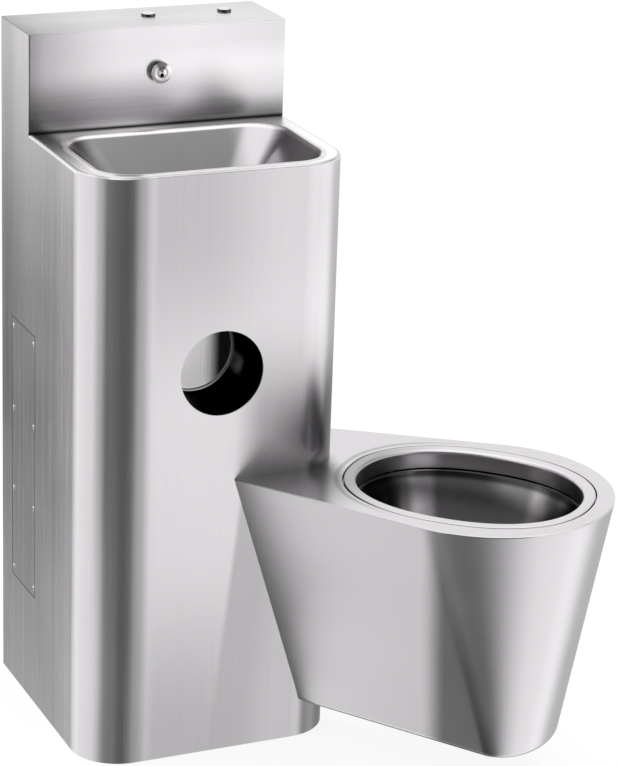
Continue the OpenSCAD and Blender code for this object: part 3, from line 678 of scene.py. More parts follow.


# Painted light: the level of the steel's tint at a place on the piece, painted with the reflections and shade
# that it mirrors in the studio

def upstand_painted_light(graph, x, y, z):
    """Painted reflections and shade: brightest in the middle and near the top, darker at the left end, with
    painted shade in a dark line along the deck.
    """
    high = graph.smooth(z, 0.86, 0.95) * 0.45 + 0.55
    wide = graph.smooth(x, -0.27, -0.04) * (1 - graph.smooth(x, 0.02, 0.20) * 0.18)
    left = graph.fall(x, -0.19, -0.05) * graph.fall(z, deck_z, deck_z + 0.075) * 0.58
    foot = graph.smooth(x, -0.045, 0.045) * graph.fall(z, deck_z + 0.004, deck_z + 0.042) * 0.68
    end = graph.fall(x, -0.188, -0.165) * 0.18
    top = graph.smooth(z, 0.92, 0.97) * 0.17 + graph.smooth(z, 0.988, 0.992) * graph.fall(x, 0.0, 0.16) * 0.2
    line = graph.smooth(z, deck_z, deck_z + 0.006) * 0.9 + 0.1
    return (wide * high * 0.66 + 0.32) * (1 - left) * (1 - foot) * (1 - end) * (1 - top) * line


def deck_painted_light(graph, x, y, z):
    """Painted reflections and shade: darkest in the far left corner and along the upstand."""
    corner = graph.fall(x, -0.172, -0.148) * graph.smooth(y, -0.14, 0.05) * 0.88
    return (1 - corner) * (1 - graph.smooth(y, 0.055, 0.067) * 0.6)


def cabinet_painted_light(graph, x, y, z):
    """Painted reflections and shade of the left side, of its corner, and of the front above and beside the
    pan.
    """
    low = graph.fall(z, 0.10, 0.52)
    side = graph.fall(x, -0.1899, -0.1893) * (
        graph.fall(y, -0.118, -0.020) * 0.20 + graph.fall(z, 0.04, 0.26) * 0.08
        + graph.smooth(z, 0.72, 0.84) * 0.10
        - graph.smooth(y, 0.10, 0.16) * graph.smooth(z, 0.30, 0.50) * 0.20)
    corner = graph.band(x, -0.172, -0.164, -0.152, -0.142) * low * 0.25
    corner = corner - graph.band(x, -0.178, -0.170, -0.164, -0.156) * (1 - low) * 0.24
    corner = corner - graph.band(x, -0.156, -0.130, -0.118, -0.100) * 0.32
    front = graph.smooth(x, -0.115, -0.090) * graph.fall(y, -0.14, -0.11)
    past = x + (0.403 - z) * 0.11 - 0.030  # how far right of the slanting edge of the pan's mirror image
    mirrored = graph.fall(z, 0.398, 0.410)
    beside = graph.smooth(past, 0.04, 0.10) * 0.12 + 0.73
    level = graph.smooth(z, 0.03, 0.32) * 0.30 + 0.77
    level = level + (1.3 - level) * graph.smooth(x, 0.098, 0.125) * graph.fall(z, 0.30, 0.35)
    level = level * (1 - graph.smooth(z, 0.50, 0.78) * (0.28 - graph.smooth(x, -0.03, 0.10) * 0.17))
    level = level - graph.smooth(past, 0.0, 0.010) * mirrored * (level - beside)
    above = (1 - mirrored) * graph.smooth(x, 0.015, 0.065) * graph.fall(z, 0.48, 0.66) * 0.38
    edge = 0.148 - graph.fall(z, 0.415, 0.445) * 0.022
    above = above + (1 - above) * graph.smooth(x - edge, 0.0, 0.014) * graph.fall(z, 0.49, 0.60) * 0.62
    return (PLAIN + side + corner) * (1 - front * (1 - level * (1 - above)))


def panel_tone_and_shade(graph, x, y, z):
    """A little darker than the side round it, with painted shade along its edge."""
    low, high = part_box("access_panel")
    inside = graph.band(y, low.y, low.y + 0.003, high.y - 0.003, high.y)
    inside = inside * graph.band(z, low.z, low.z + 0.002, high.z - 0.002, high.z)
    return 0.70 - (1 - inside) * 0.45


def basin_painted_light(graph, x, y, z):
    """Painted highlight brightest on the lip, and painted shade dark in the far left corner."""
    lip = graph.smooth(z, deck_z - 0.0045, deck_z - 0.0015)
    rear = graph.fall(x, 0.085, 0.120) * 0.37
    corner = graph.fall(x, -0.142, -0.106) * 0.75
    return lip * (1 - PLAIN) + PLAIN * (1 - (1 - lip) * (1 - (1 - rear) * (1 - corner)))


def pan_axes(x, y):
    """Distances of a place along the pan's middle line and across it: the inverse of on_pan."""
    turn = bpy.context.scene.pan_sizes.turn
    right, rear = x - half_width, y - front_y
    return right * cos(turn) - rear * sin(turn), right * sin(turn) + rear * cos(turn)


def rim_angle(graph, x, y):
    """Angle round the pan's rim in degrees, from its nose."""
    down, across = pan_axes(x, y)
    facing = graph.math("ARCTAN2", across, down - bpy.context.scene.pan_sizes.rim_middle)
    return graph.math("WRAP", graph.math("DEGREES", facing), 300.0, -60.0)


def pan_painted_light(graph, x, y, z):
    """Painted reflection: darker where the flat side runs into the nose."""
    across = x * 0.898 - y * 0.439 + z * 0.046
    start = graph.smooth(across, 0.375, 0.411)
    end = graph.smooth(across - (0.400 - z) * 0.230, 0.384, 0.409)
    return PLAIN * (1 - start * (1 - end) * 0.74)


def top_painted_light(graph, x, y, z):
    """Painted reflection darkest in front of the cabinet, with painted shade along a faint line pressed round
    the left end of the rim and in the sunk edge of the hole.
    """
    sizes = bpy.context.scene.pan_sizes
    near = graph.fall(-y, 0.175, 0.355) * graph.fall(x, 0.150, 0.195)
    down, across = pan_axes(x, y)
    size = abs((down - sizes.rim_middle) / (sizes.rim_length + 0.0085)) ** FULLNESS
    size = size + abs(across / (sizes.rim_width + 0.0085)) ** FULLNESS
    line = graph.band(size, 0.93, 0.99, 1.01, 1.07) * graph.fall(down, 0.03, 0.15)
    sunk = graph.fall(z, pan_top_z - 0.0014, pan_top_z - 0.0001) * graph.fall(size, 0.97, 1.0)
    return PLAIN * (1 - near * 0.85) * (1 - line * 0.35) * (1 - sunk * 0.75)


def rim_painted_light(graph, x, y, z):
    """Painted highlights and shade: bright patches and dark ends on the skirt inside the rim."""
    facing = rim_angle(graph, x, y)
    skirt = graph.fall(z, pan_top_z - 0.008, pan_top_z - 0.004)
    light = graph.around(facing, 137, 14) + graph.around(facing, 57, 14)
    dark = graph.math("MAXIMUM", graph.around(facing, 165, 22), graph.around(facing, 15, 28))
    end = (1 - skirt) * graph.around(facing, 180, 62) * 0.33
    return PLAIN - end - skirt * (0.18 - light * 0.43 + dark * 0.25)


def bowl_painted_light(graph, x, y, z):
    """Painted shade, dark where the rim's skirt shades the bowl, with painted highlights at two places round
    the rim.
    """
    facing = rim_angle(graph, x, y)
    light = graph.around(facing, 136, 10) * 0.65 + graph.around(facing, 55, 12) * 0.45
    dark = graph.math("MAXIMUM", graph.around(facing, 165, 22), graph.around(facing, 20, 28))
    shade = 1 - graph.smooth(z, pan_top_z - 0.043, pan_top_z - 0.036) * 0.75
    shade = shade * (1 - graph.smooth(z, pan_top_z - 0.090, pan_top_z - 0.050) * 0.40)
    return (light + 0.42) * (1 - dark * 0.8) * shade


def cup_steel(graph, tint):
    """Drawn steel, dull, with painted shade that darkens the deep wall, a painted highlight on that wall, and
    a painted glow that lights the back.
    """
    x, y, z = graph.axes()
    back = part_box("roll_pocket")[1].y
    rise = z - middle_of("roll_pocket").z
    streaks = graph.noise([700, 700, 12])
    dish = graph.smooth(y, back - 0.0085, back - 0.0045)
    disc = graph.smooth(y, back - 0.0025, back - 0.0018)
    light = dish * (1 - disc * graph.smooth(x, 0.016, 0.042) * 0.99)
    gleam = graph.band(rise, -0.034, -0.020, -0.014, -0.002) * graph.smooth(x, 0.030, 0.045)
    light = light + (1 - dish) * gleam * graph.smooth(y, back - 0.050, back - 0.010) * 1.3
    graph.surface(
        Base_Color=graph.mix(light * (streaks * 0.08 + 0.96), shaded(tint, 0.006), shaded(tint, 1.35)),
        Metallic=1.0,
        Specular_Tint=(0.30, 0.30, 0.30, 1),
        Roughness=disc * 0.30 + 0.30 + (streaks - 0.5) * 0.1,
        Emission_Color=graph.mix(disc * light * (streaks * 0.5 + 0.6), (0, 0, 0), (0.48, 0.47, 0.48)),
        Emission_Strength=1.0)


def spout_steel(graph, tint, roughness):
    """Turned and polished steel with turning marks: painted highlights make its face light to the left and
    right, and painted shade darkens the bore and the side.
    """
    x, y, z = graph.axes()
    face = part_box("spout")[0].y
    rise = z - middle_of("spout").z
    radius = (x * x + rise * rise) ** 0.5
    marks = graph.math("SINE", radius * 9000) * 0.04
    lobes = graph.smooth(abs(x) / (radius + 0.0001), 0.42, 0.78)
    lobes = lobes + (1 - lobes) * graph.smooth(rise, 0.0, -0.006) * 0.75
    rise = rise + OUTLET_DROP
    bore = graph.fall((x * x + rise * rise) ** 0.5, OUTLET_RADIUS - 0.0001, OUTLET_RADIUS + 0.0002)
    wall = graph.smooth(y, face + 0.0010, face + 0.0022)
    light = (lobes * 0.8 + 0.2 + marks) * (1 - bore * 0.98) * (1 - wall * 0.62)
    graph.surface(
        Base_Color=graph.mix(light, (0, 0, 0), shaded(tint, 1.36)),
        Metallic=1.0,
        Roughness=roughness + 0.22 - wall * 0.15 + marks)


def button_steel(graph, tint, roughness):
    """Polished steel, with painted shade that darkens the cap's side."""
    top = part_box("tap_button")[1].z
    cloud = graph.noise(200)
    level = graph.smooth(graph.axes()[2], top - 0.0014, top - 0.0006) + (cloud - 0.5) * 0.06
    graph.surface(
        Base_Color=graph.mix(level, shaded(tint, 0.10), shaded(tint, 1.05)),
        Metallic=1.0,
        Roughness=roughness + (cloud - 0.5) * 0.08)


def zinc_plate(graph):
    """Galvanised steel with its spangle."""
    place = graph.node("ShaderNodeTexCoord", output="Object")
    spangle = graph.node("ShaderNodeTexVoronoi", {"Vector": place, "Scale": 110.0}, output="Color")
    level = graph.node("ShaderNodeSeparateColor", {0: spangle})
    cloud = graph.noise(30)
    graph.surface(
        Base_Color=graph.mix(level * 0.6 + cloud * 0.4, (0.34, 0.36, 0.38), (0.62, 0.64, 0.66)),
        Metallic=1.0,
        Roughness=0.36 + level * 0.14 + (cloud - 0.5) * 0.1)


def cast_brass(graph):
    """Brass with a fine cast skin."""
    skin = graph.noise(900)
    cloud = graph.noise(40)
    graph.surface(
        Base_Color=graph.mix(cloud, (0.58, 0.38, 0.14), (0.80, 0.58, 0.27)),
        Metallic=1.0,
        Roughness=0.30 + (skin - 0.5) * 0.12 + (cloud - 0.5) * 0.12,
        Normal=graph.bump(0.4, 0.00008, skin))


def soft_rubber(graph):
    """Dull black rubber."""
    skin = graph.noise(700)
    graph.surface(
        Base_Color=graph.mix(skin, (0.012, 0.012, 0.013), (0.030, 0.030, 0.032)),
        Roughness=0.62 + (skin - 0.5) * 0.2,
        Normal=graph.bump(0.4, 0.0001, skin))


def moulded_plastic(graph, tint, roughness):
    """Moulded or dipped plastic with a slightly uneven gloss."""
    skin = graph.noise(450, 2)
    cloud = graph.noise(25)
    graph.surface(
        Base_Color=graph.mix(cloud, shaded(tint, 0.88), shaded(tint, 1.12)),
        Roughness=roughness + (skin - 0.5) * 0.08 + (cloud - 0.5) * 0.1,
        Normal=graph.bump(0.3, 0.00005, skin))


def material(name):
    """The material of that name, made when it is first asked for."""
    if name in bpy.data.materials:
        return bpy.data.materials[name]
    steel = bpy.context.scene.steel_finish
    satin, polished = steel.satin, steel.polished
    rough, gloss = steel.satin_roughness, steel.polished_roughness
    maker, *values = {
        "steel_panel": (brushed_steel, satin, rough, "Z", panel_tone_and_shade),
        "steel_cabinet": (brushed_steel, satin, rough, "Z", cabinet_painted_light),
        "steel_pan": (brushed_steel, satin, rough, "Z", pan_painted_light, True),
        # The deck's tint is a tenth lighter than the sheet's, as painted light.
        "steel_deck": (brushed_steel, shaded(satin, 1.1), rough + 0.08, "X", deck_painted_light),
        "steel_top": (brushed_steel, satin, rough, "X", top_painted_light),
        "steel_upstand": (brushed_steel, satin, rough, "X", upstand_painted_light),
        "steel_across": (brushed_steel, satin, rough, "X"),
        "steel_rim": (polished_steel, polished, gloss + 0.15, rim_painted_light),
        "steel_pressed": (polished_steel, shaded(satin, 0.84), gloss + 0.08, basin_painted_light),
        "steel_bowl": (polished_steel, satin, gloss + 0.04, bowl_painted_light),
        "steel_polished": (polished_steel, polished, gloss),
        "steel_pipe": (polished_steel, shaded(satin, 0.92), gloss + 0.10),
        "steel_cup": (cup_steel, satin),
        "steel_spout": (spout_steel, polished, gloss),
        "steel_button": (button_steel, polished, gloss),
        "zinc": (zinc_plate,),
        "brass": (cast_brass,),
        "rubber": (soft_rubber,),
        "grey_plastic": (moulded_plastic, (0.30, 0.31, 0.32), 0.38),
        "red_vinyl": (moulded_plastic, (0.45, 0.018, 0.012), 0.32),
    }[name]
    made = bpy.data.materials.new(name)
    maker(Graph(made), *values)
    return made


# Pieces

class Step:
    """What all the operators share."""
    bl_options = {"REGISTER", "UNDO"}


class UNIT_OT_cabinet(Step, Operator):
    """Cabinet body: the front, both sides and the upstand's cheeks, with the folded top edge"""
    bl_idname = "unit.cabinet"
    bl_label = "Cabinet"

    def execute(self, context):
        sizes = context.scene.cabinet_sizes
        cheek_y = upstand_y + sizes.upstand_edge
        fold_z = deck_z - sizes.fold
        heights = (0.0, SUPPORT, fold_z - SUPPORT, fold_z)
        body = loft("cabinet_body", [cabinet_plan(z, 0, (back_y, cheek_y)) for z in heights], closed=False)
        edit(body)
        near = 1e-4
        pick(body, "EDGE", lambda edge: all(vert.co.z > fold_z - near and vert.co.y > cheek_y - near
                                            for vert in edge.verts))
        bpy.ops.mesh.extrude_region_move(
            TRANSFORM_OT_translate={"value": (0, 0, top_z - sizes.upstand_edge - fold_z)})
        rows = [(deck_z - sizes.fold * (1 - sin(a)), sizes.fold * (1 - cos(a))) for a in arc(0, 90, 6)]
        rows.append((deck_z, sizes.fold + SLACK))
        edge = loft("cabinet_fold", [cabinet_plan(z, inset, (cheek_y,)) for z, inset in rows], closed=False)
        body = join("cabinet_body", edge, body)
        thicken(body, sizes.sheet)
        self.cut_holes(context, body)
        ease(body, width=0.0003)
        finish(body, "steel_cabinet", ["cabinet_shell"], flats=True)
        return {"FINISHED"}

    def cut_holes(self, context, body):
        """Holes for the pocket, the access panel, the pan's trap and the flush pipe."""
        sizes, back = context.scene.cabinet_sizes, context.scene.pan_sizes.back
        low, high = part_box("access_panel")
        gap = Vector((REACH, sizes.panel_gap, sizes.panel_gap))
        pocket = Vector((0, front_y, middle_of("roll_pocket").z))
        cutters = [drill(context.scene.pocket_sizes.radius, pocket, Vector((0, 2 * REACH, 0))),
                   block("panel_hole", low - gap, high + gap)]
        front = 0.05
        for radius, z, sides in ((sizes.trap_hole, pan_low_z + sizes.trap_height, 96),
                                 (sizes.flush_hole, pan_top_z - sizes.flush_depth, 48)):
            cutters.append(rod("pipe_hole", radius, on_pan(back / 2, 0, z), on_pan(front, 0, z), sides))
        cut(body, *cutters)


class UNIT_OT_deck(Step, Operator):
    """Deck: the flat sheet round the basin"""
    bl_idname = "unit.deck"
    bl_label = "Deck"

    def execute(self, context):
        sizes, basin = context.scene.cabinet_sizes, context.scene.basin_sizes
        outer = cabinet_plan(deck_z, sizes.fold + SLACK, (upstand_y - sizes.joint,))
        inner = rounded_plan(basin.width, basin.depth, basin.corner, deck_z, basin.lip + SLACK)
        deck = plate("basin_deck", [outer, inner])
        thicken(deck, sizes.sheet)
        finish(deck, "steel_deck", ["deck_plate"], flats=True)
        return {"FINISHED"}


class UNIT_OT_upstand(Step, Operator):
    """Upstand: its face and top, folded from one sheet, with polished edges"""
    bl_idname = "unit.upstand"
    bl_label = "Upstand"

    def execute(self, context):
        sizes = context.scene.cabinet_sizes
        low = Vector((-half_width, upstand_y, deck_z - sizes.fold))
        high = Vector((half_width, back_y, top_z))
        cover = block("upstand", low, high)
        edit(cover)
        pick(cover, "FACE", lambda face: face.normal.y > 0.9 or face.normal.z < -0.9)
        bpy.ops.mesh.delete(type="FACE")
        pick(cover, "EDGE", lambda edge: not edge.is_boundary)
        bpy.ops.mesh.bevel(offset=sizes.upstand_edge, segments=5, affect="EDGES")
        pick(cover, "FACE", lambda face: abs(face.normal.x) > 0.999)
        bpy.ops.mesh.delete(type="FACE")
        leave()
        thicken(cover, sizes.sheet)
        cutters = [drill(sizes.spout_hole, middle_of("spout_seal"), Vector((0, REACH, 0)), 48)]
        for node in ("tap_button", "flush_button"):
            place = middle_of(node)
            place.z = top_z
            cutters.append(drill(sizes.button_hole, place, Vector((0, 0, REACH))))
        cut(cover, *cutters)
        finish(cover, "steel_upstand", ["upstand_cover"], flats=True)
        return {"FINISHED"}


class UNIT_OT_access(Step, Operator):
    """Access panel and its eight screws"""
    bl_idname = "unit.access"
    bl_label = "Access panel"

    def execute(self, context):
        panel = block("service_panel", *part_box("access_panel"))
        edit(panel)
        bpy.ops.mesh.select_mode(type="EDGE")
        select_all()
        bpy.ops.mesh.bevel(offset=0.0002, segments=2, affect="EDGES")
        leave()
        finish(panel, "steel_panel", ["access_panel"], flats=True)
        self.make_screws()
        return {"FINISHED"}

    def make_screws(self, head=0.0036, shank=0.0020, rows=4):
        """One low domed screw with a socket, copied to two columns."""
        low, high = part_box("access_screws")
        first = Vector((-half_width, low.y + head, low.z + head))
        pitch = Vector((0, high.y - low.y - 2 * head, (high.z - low.z - 2 * head) / (rows - 1)))
        tail = -half_width - high.x
        profile = ((shank - 0.0003, tail), (shank, tail + 0.0004), (shank, 0), (head, 0), (head, 0.0004),
                   (head - 0.0002, 0.0008), (head - 0.0007, 0.0011), (head - 0.0015, 0.0012))
        rings = [circle(first - Vector((rise, 0, 0)), radius, "X", 24) for radius, rise in profile]
        rings += [self.socket(first - Vector((rise, 0, 0)), radius)
                  for radius, rise in ((0.0013, 0.0012), (0.0012, 0.0003))]
        screw = loft("access_screws_set", rings, ends="both")
        copies = []
        for column in range(2):
            for row in range(rows):
                if column or row:
                    choose(screw)
                    bpy.ops.object.duplicate()
                    copies.append(bpy.context.object)
                    copies[-1].data.transform(Matrix.Translation((0, column * pitch.y, row * pitch.z)))
        screws = join("access_screws_set", *copies, screw)
        finish(screws, "steel_polished", ["access_screws"])

    def socket(self, middle, radius):
        """Six-sided ring of the screw's socket."""
        ring = []
        for point in circle(middle, radius, "X", 24):
            away = point - middle
            turn = atan2(away.z, away.y) % (pi / 3) - pi / 6
            ring.append(middle + away / cos(turn))
        return ring


class UNIT_OT_pocket(Step, Operator):
    """Toilet-roll pocket: a deep drawn cup behind the front"""
    bl_idname = "unit.pocket"
    bl_label = "Toilet-roll pocket"

    def execute(self, context):
        sizes, sheet = context.scene.pocket_sizes, context.scene.cabinet_sizes.sheet
        low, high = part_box("roll_pocket")
        back = high.y - sheet
        profile = [(sizes.radius, y) for y in (low.y, low.y + SUPPORT, back - sizes.dish - SUPPORT)]
        profile += [(sizes.radius - sizes.dish * (1 - cos(a)), back - sizes.dish * (1 - sin(a)))
                    for a in arc(0, 90, 8)]
        profile += [(sizes.radius - sizes.dish - SLACK, back), (sizes.radius / 2, back)]
        z = middle_of("roll_pocket").z
        rings = [circle(Vector((0, y, z)), radius, "Y", 96) for radius, y in profile]
        cup = loft("roll_cup", rings, ends="last")
        thicken(cup, sheet, inwards=False)
        finish(cup, "steel_cup", ["roll_pocket"], flats=True)
        return {"FINISHED"}


class UNIT_OT_basin(Step, Operator):
    """Basin: the rolled lip, the sloping walls and the floor round the drain"""
    bl_idname = "unit.basin"
    bl_label = "Basin"

    def execute(self, context):
        sizes = context.scene.basin_sizes
        opening = [rounded_plan(sizes.width, sizes.depth, sizes.corner, deck_z, grow)
                   for grow in (sizes.lip + SLACK, sizes.lip, 0.0)]
        floor = [rounded_plan(sizes.floor_width, sizes.floor_depth, sizes.floor_corner, basin_floor_z, grow)
                 for grow in (0.0, -sizes.floor_reach)]
        middle = Vector((0, sizes.middle, basin_floor_z))
        sections = []
        for flat, start, corner, foot, end in zip(*opening, *floor):
            down = (foot - corner).normalized()
            section = [flat] + fold(start, corner, corner + down * sizes.lip, 7)
            section += fold(foot - down * sizes.floor_rise, foot, end, 8)
            section.append(end.lerp(middle, 0.05))
            section.append(middle + (end - middle).normalized() * sizes.drain)
            sections.append(section)
        bowl = loft("basin", zip(*sections))
        thicken(bowl, context.scene.cabinet_sizes.sheet, inwards=False)
        finish(bowl, "steel_pressed", ["basin_bowl"])
        return {"FINISHED"}


class UNIT_OT_spout(Step, Operator):
    """Spout: a turned head with a small outlet low in its face"""
    bl_idname = "unit.spout"
    bl_label = "Spout"

    def execute(self, context):
        low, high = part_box("spout")
        middle = Vector((0, low.y, middle_of("spout").z))
        tail = high.y - low.y
        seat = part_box("spout_seal")[0].y - low.y
        shank, head = 0.0085, 0.0150
        profile = [(shank - 0.0013, tail), (shank, tail - 0.0010), (shank, seat), (head - 0.0006, seat),
                   (head, seat - 0.0006), (head, 0.0022), (head - 0.0002, 0.0015), (head - 0.0007, 0.0009),
                   (head - 0.0014, 0.0006), (0.0100, 0.0005), (0.0074, 0.0004), (0.0070, 0.0006),
                   (0.0066, 0.0004), (0.0058, 0.0001), (0.0030, 0.0)]
        spout = turned("spout_head", middle, "Y", profile)
        outlet = middle - Vector((0, 0, OUTLET_DROP))
        depth = Vector((0, 0.009, 0))
        cut(spout, rod("outlet", OUTLET_RADIUS, outlet - Vector((0, REACH, 0)), outlet + depth, 48))
        finish(spout, "steel_spout", ["spout"], limit=30)
        return {"FINISHED"}


class UNIT_OT_buttons(Step, Operator):
    """Push-buttons: each a domed cap on its stem, with its return spring"""
    bl_idname = "unit.buttons"
    bl_label = "Push-buttons"

    def execute(self, context):
        for name in ("tap", "flush"):
            low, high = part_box(name + "_button")
            base = middle_of(name + "_button")
            base.z = low.z
            radius, tall = (high.x - low.x) / 2, high.z - low.z
            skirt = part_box(name + "_spring")[1].z - low.z
            stem = 0.0040
            profile = [(stem - 0.0006, 0), (stem, 0.0006), (stem, skirt), (radius - 0.0005, skirt),
                       (radius, skirt + 0.0005), (radius, tall - 0.0016), (radius - 0.0002, tall - 0.0010),
                       (radius - 0.0006, tall - 0.0006), (radius - 0.0013, tall - 0.0003),
                       (radius * 0.70, tall - 0.0001), (radius * 0.35, tall)]
            button = turned(name + "_cap", base, "Z", profile)
            finish(button, "steel_button", [name + "_button"], body=name + "_button")
            self.make_spring(name)
        return {"FINISHED"}

    def make_spring(self, name, turns=7, wire=0.00095, steps=20, sides=8):
        """A coil of round wire, closer at both ends."""
        low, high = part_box(name + "_spring")
        centre = middle_of(name + "_spring")
        centre.z = low.z + wire
        radius = (high.x - low.x) / 2 - wire
        rings = []
        for step in range(turns * steps + 1):
            turn = 2 * pi * step / steps
            part = step / (turns * steps)
            coil = part + 0.06 * sin(2 * pi * part) / (2 * pi)
            out = Vector((cos(turn), sin(turn), 0))
            middle = centre + out * radius + Vector((0, 0, (high.z - low.z - 2 * wire) * coil))
            rings.append([middle + out * wire * cos(2 * pi * side / sides)
                          + Vector((0, 0, wire * sin(2 * pi * side / sides))) for side in range(sides)])
        spring = loft(name + "_coil", rings, ends="both")
        finish(spring, "zinc", [name + "_spring"])
        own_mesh(spring)


class UNIT_OT_pan_body(Step, Operator):
    """Pan body: the tapering shell with its folded underside"""
    bl_idname = "unit.pan_body"
    bl_label = "Pan body"

    def execute(self, context):
        sizes = context.scene.pan_sizes
        corner, inner = pan_plan(pan_low_z), pan_plan(pan_low_z, sizes.low_fold)
        above, seam = pan_plan(pan_low_z + sizes.low_fold), pan_plan(pan_top_z - sizes.sheet)
        sections = []
        for start, edge, end, last in zip(inner, corner, above, seam):
            sections.append(fold(start, edge, end, 8) + [end.lerp(last, 0.02), end.lerp(last, 0.5), last])
        shell = loft("pan_body", zip(*sections))
        measure(shell, pan_plan(pan_top_z))
        thicken(shell, sizes.sheet)
        cut(shell, cabinet_block())
        finish(shell, "steel_pan", ["pan_shell"], flats=True)
        under = plate("pan_underside", [pan_plan(pan_low_z, sizes.low_fold + 0.0001)])
        edit(under)
        bpy.ops.mesh.flip_normals()
        leave()
        thicken(under, sizes.sheet)
        cut(under, cabinet_block())
        finish(under, "steel_across", ["pan_base_plate"], flats=True)
        return {"FINISHED"}


def cabinet_block():
    """The space that the cabinet takes up, to cut the pan with."""
    rings = [cabinet_plan(z, -0.0002, (back_y,)) for z in (-0.02, deck_z)]
    return loft("cabinet_space", rings, ends="both")


class UNIT_OT_pan_top(Step, Operator):
    """Pan top: the flat plate, its folded edge and the sunk edge of its oval hole"""
    bl_idname = "unit.pan_top"
    bl_label = "Pan top"

    def execute(self, context):
        sizes = context.scene.pan_sizes
        width = sizes.top_fold
        seam, corner = pan_plan(pan_top_z - width), pan_plan(pan_top_z)
        inner = [pan_plan(pan_top_z, width), pan_plan(pan_top_z, width + SLACK)]
        sections = [fold(start, edge, end, 6) + [flat]
                    for start, edge, end, flat in zip(seam, corner, *inner)]
        edge = loft("pan_edge", zip(*sections))
        outside = -0.0100
        drops = ((outside, 0.0), (-0.0050, 0.0), (-0.0020, 0.00005), (-0.0010, 0.00025), (-0.0004, 0.0006),
                 (-0.0001, 0.0011), (0.0, 0.0020))
        hole = loft("pan_hole", [rim_oval(inset, pan_top_z - drop) for inset, drop in drops])
        flat = plate("pan_flat", [inner[1], rim_oval(outside, pan_top_z)])
        top = join("pan_top", edge, hole, flat)
        edit(top)
        bpy.ops.mesh.normals_make_consistent(inside=False)
        face_up(top)
        leave()
        thicken(top, min(sizes.sheet, 0.7 * width))
        cut(top, cabinet_block())
        finish(top, "steel_top", ["pan_top_plate"], flats=True)
        return {"FINISHED"}


class UNIT_OT_pan_rim(Step, Operator):
    """Flushing rim: the ring in the pan's top, its skirt and the channel under it"""
    bl_idname = "unit.pan_rim"
    bl_label = "Pan rim"

    def execute(self, context):
        sizes = context.scene.pan_sizes
        outer, groove, ring = -sizes.flange, sizes.groove, sizes.ring
        channel, skirt = sizes.drop, sizes.skirt
        roll, shelf, sheet = 0.0050, 0.0060, 0.0015
        path = [(outer, channel), (outer, shelf), (groove, shelf), (groove, 0.0010),
                (groove + 0.0002, 0.0005), (groove + 0.0006, 0.00015), (groove + 0.0012, 0),
                (ring - roll - 0.0002, 0)]
        path += [(ring - roll * (1 - sin(a)), roll * (1 - cos(a))) for a in arc(0, 90, 8)]
        path += [(ring, roll + 0.0005), (ring, skirt - 0.0010), (ring - 0.0004, skirt - 0.0002),
                 (ring - 0.0011, skirt - 0.0002), (ring - sheet, skirt - 0.0010), (ring - sheet, shelf),
                 (ring - roll - 0.0005, 0.0035), (groove + 0.0002, 0.0035), (groove, channel),
                 (outer, channel)]
        rim = loft("flushing_rim", [rim_oval(inset, pan_top_z - drop) for inset, drop in path], ends="joined")
        finish(rim, "steel_rim", ["pan_rim"], limit=40)
        return {"FINISHED"}


class UNIT_OT_pan_bowl(Step, Operator):
    """Pan bowl: from the slot under the rim down to the trap"""
    bl_idname = "unit.pan_bowl"
    bl_label = "Pan bowl"

    def execute(self, context):
        sizes = context.scene.pan_sizes
        low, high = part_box("pan_bowl")
        lip, slot = 0.004, 0.002
        outlines = [oval(sizes.rim_middle, sizes.rim_length + grow, sizes.rim_width + grow - narrower, high.z)
                    for grow, narrower in ((sizes.flange, 0), (slot - sizes.ring + lip, sizes.groove),
                                           (slot - sizes.ring, sizes.groove))]
        waist = oval(middle=0.165, along_pan=0.120, across_pan=0.100, z=pan_top_z - sizes.waist)
        sump = oval(middle=0.150, along_pan=0.040, across_pan=0.040, z=low.z, power=2.0)
        sections = []
        for outer, start, corner, middle, foot in zip(*outlines, waist, sump):
            down = (middle - corner).normalized()
            section = [outer] + fold(start, corner, corner + down * lip, 6)
            section += fold(corner.lerp(middle, 0.45), middle, middle.lerp(foot, 0.55), 12)
            section += [middle.lerp(foot, 0.8), foot]
            sections.append(section)
        bowl = loft("pan_basin", zip(*sections))
        thicken(bowl, sizes.sheet, inwards=False)
        finish(bowl, "steel_bowl", ["pan_bowl"], limit=45)
        return {"FINISHED"}


CAD_FINISHES = {
    "zinc": ["rear_frame", "base_frame", "access_frame", "valve_studs", "valve_nuts", "pan_gussets"],
    "steel_pipe": ["spout_pipe", "tap_supply_pipe", "tap_inlet", "flush_supply_pipe", "flush_inlet",
                   "flush_pipe", "pan_trap", "pan_soil_pipe", "pan_outlet_sleeve"],
    "steel_polished": ["basin_waste"],
    "brass": ["basin_waste_nut", "spout_nut", "tap_valve", "tap_stop_valve", "flush_valve",
              "flush_stop_valve"],
    "rubber": ["basin_waste_seal", "spout_seal"],
    "grey_plastic": ["basin_waste_pipe", "basin_trap", "basin_outlet_pipe"],
    "red_vinyl": ["tap_stop_lever", "flush_stop_lever"],
}


class UNIT_OT_fittings(Step, Operator):
    """Fittings inside the cabinet: gives the frames, valves and pipes their finishes"""
    bl_idname = "unit.fittings"
    bl_label = "Fittings"

    def execute(self, context):
        for name, nodes in CAD_FINISHES.items():
            for node in nodes:
                dress(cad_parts[node], name)
        return {"FINISHED"}


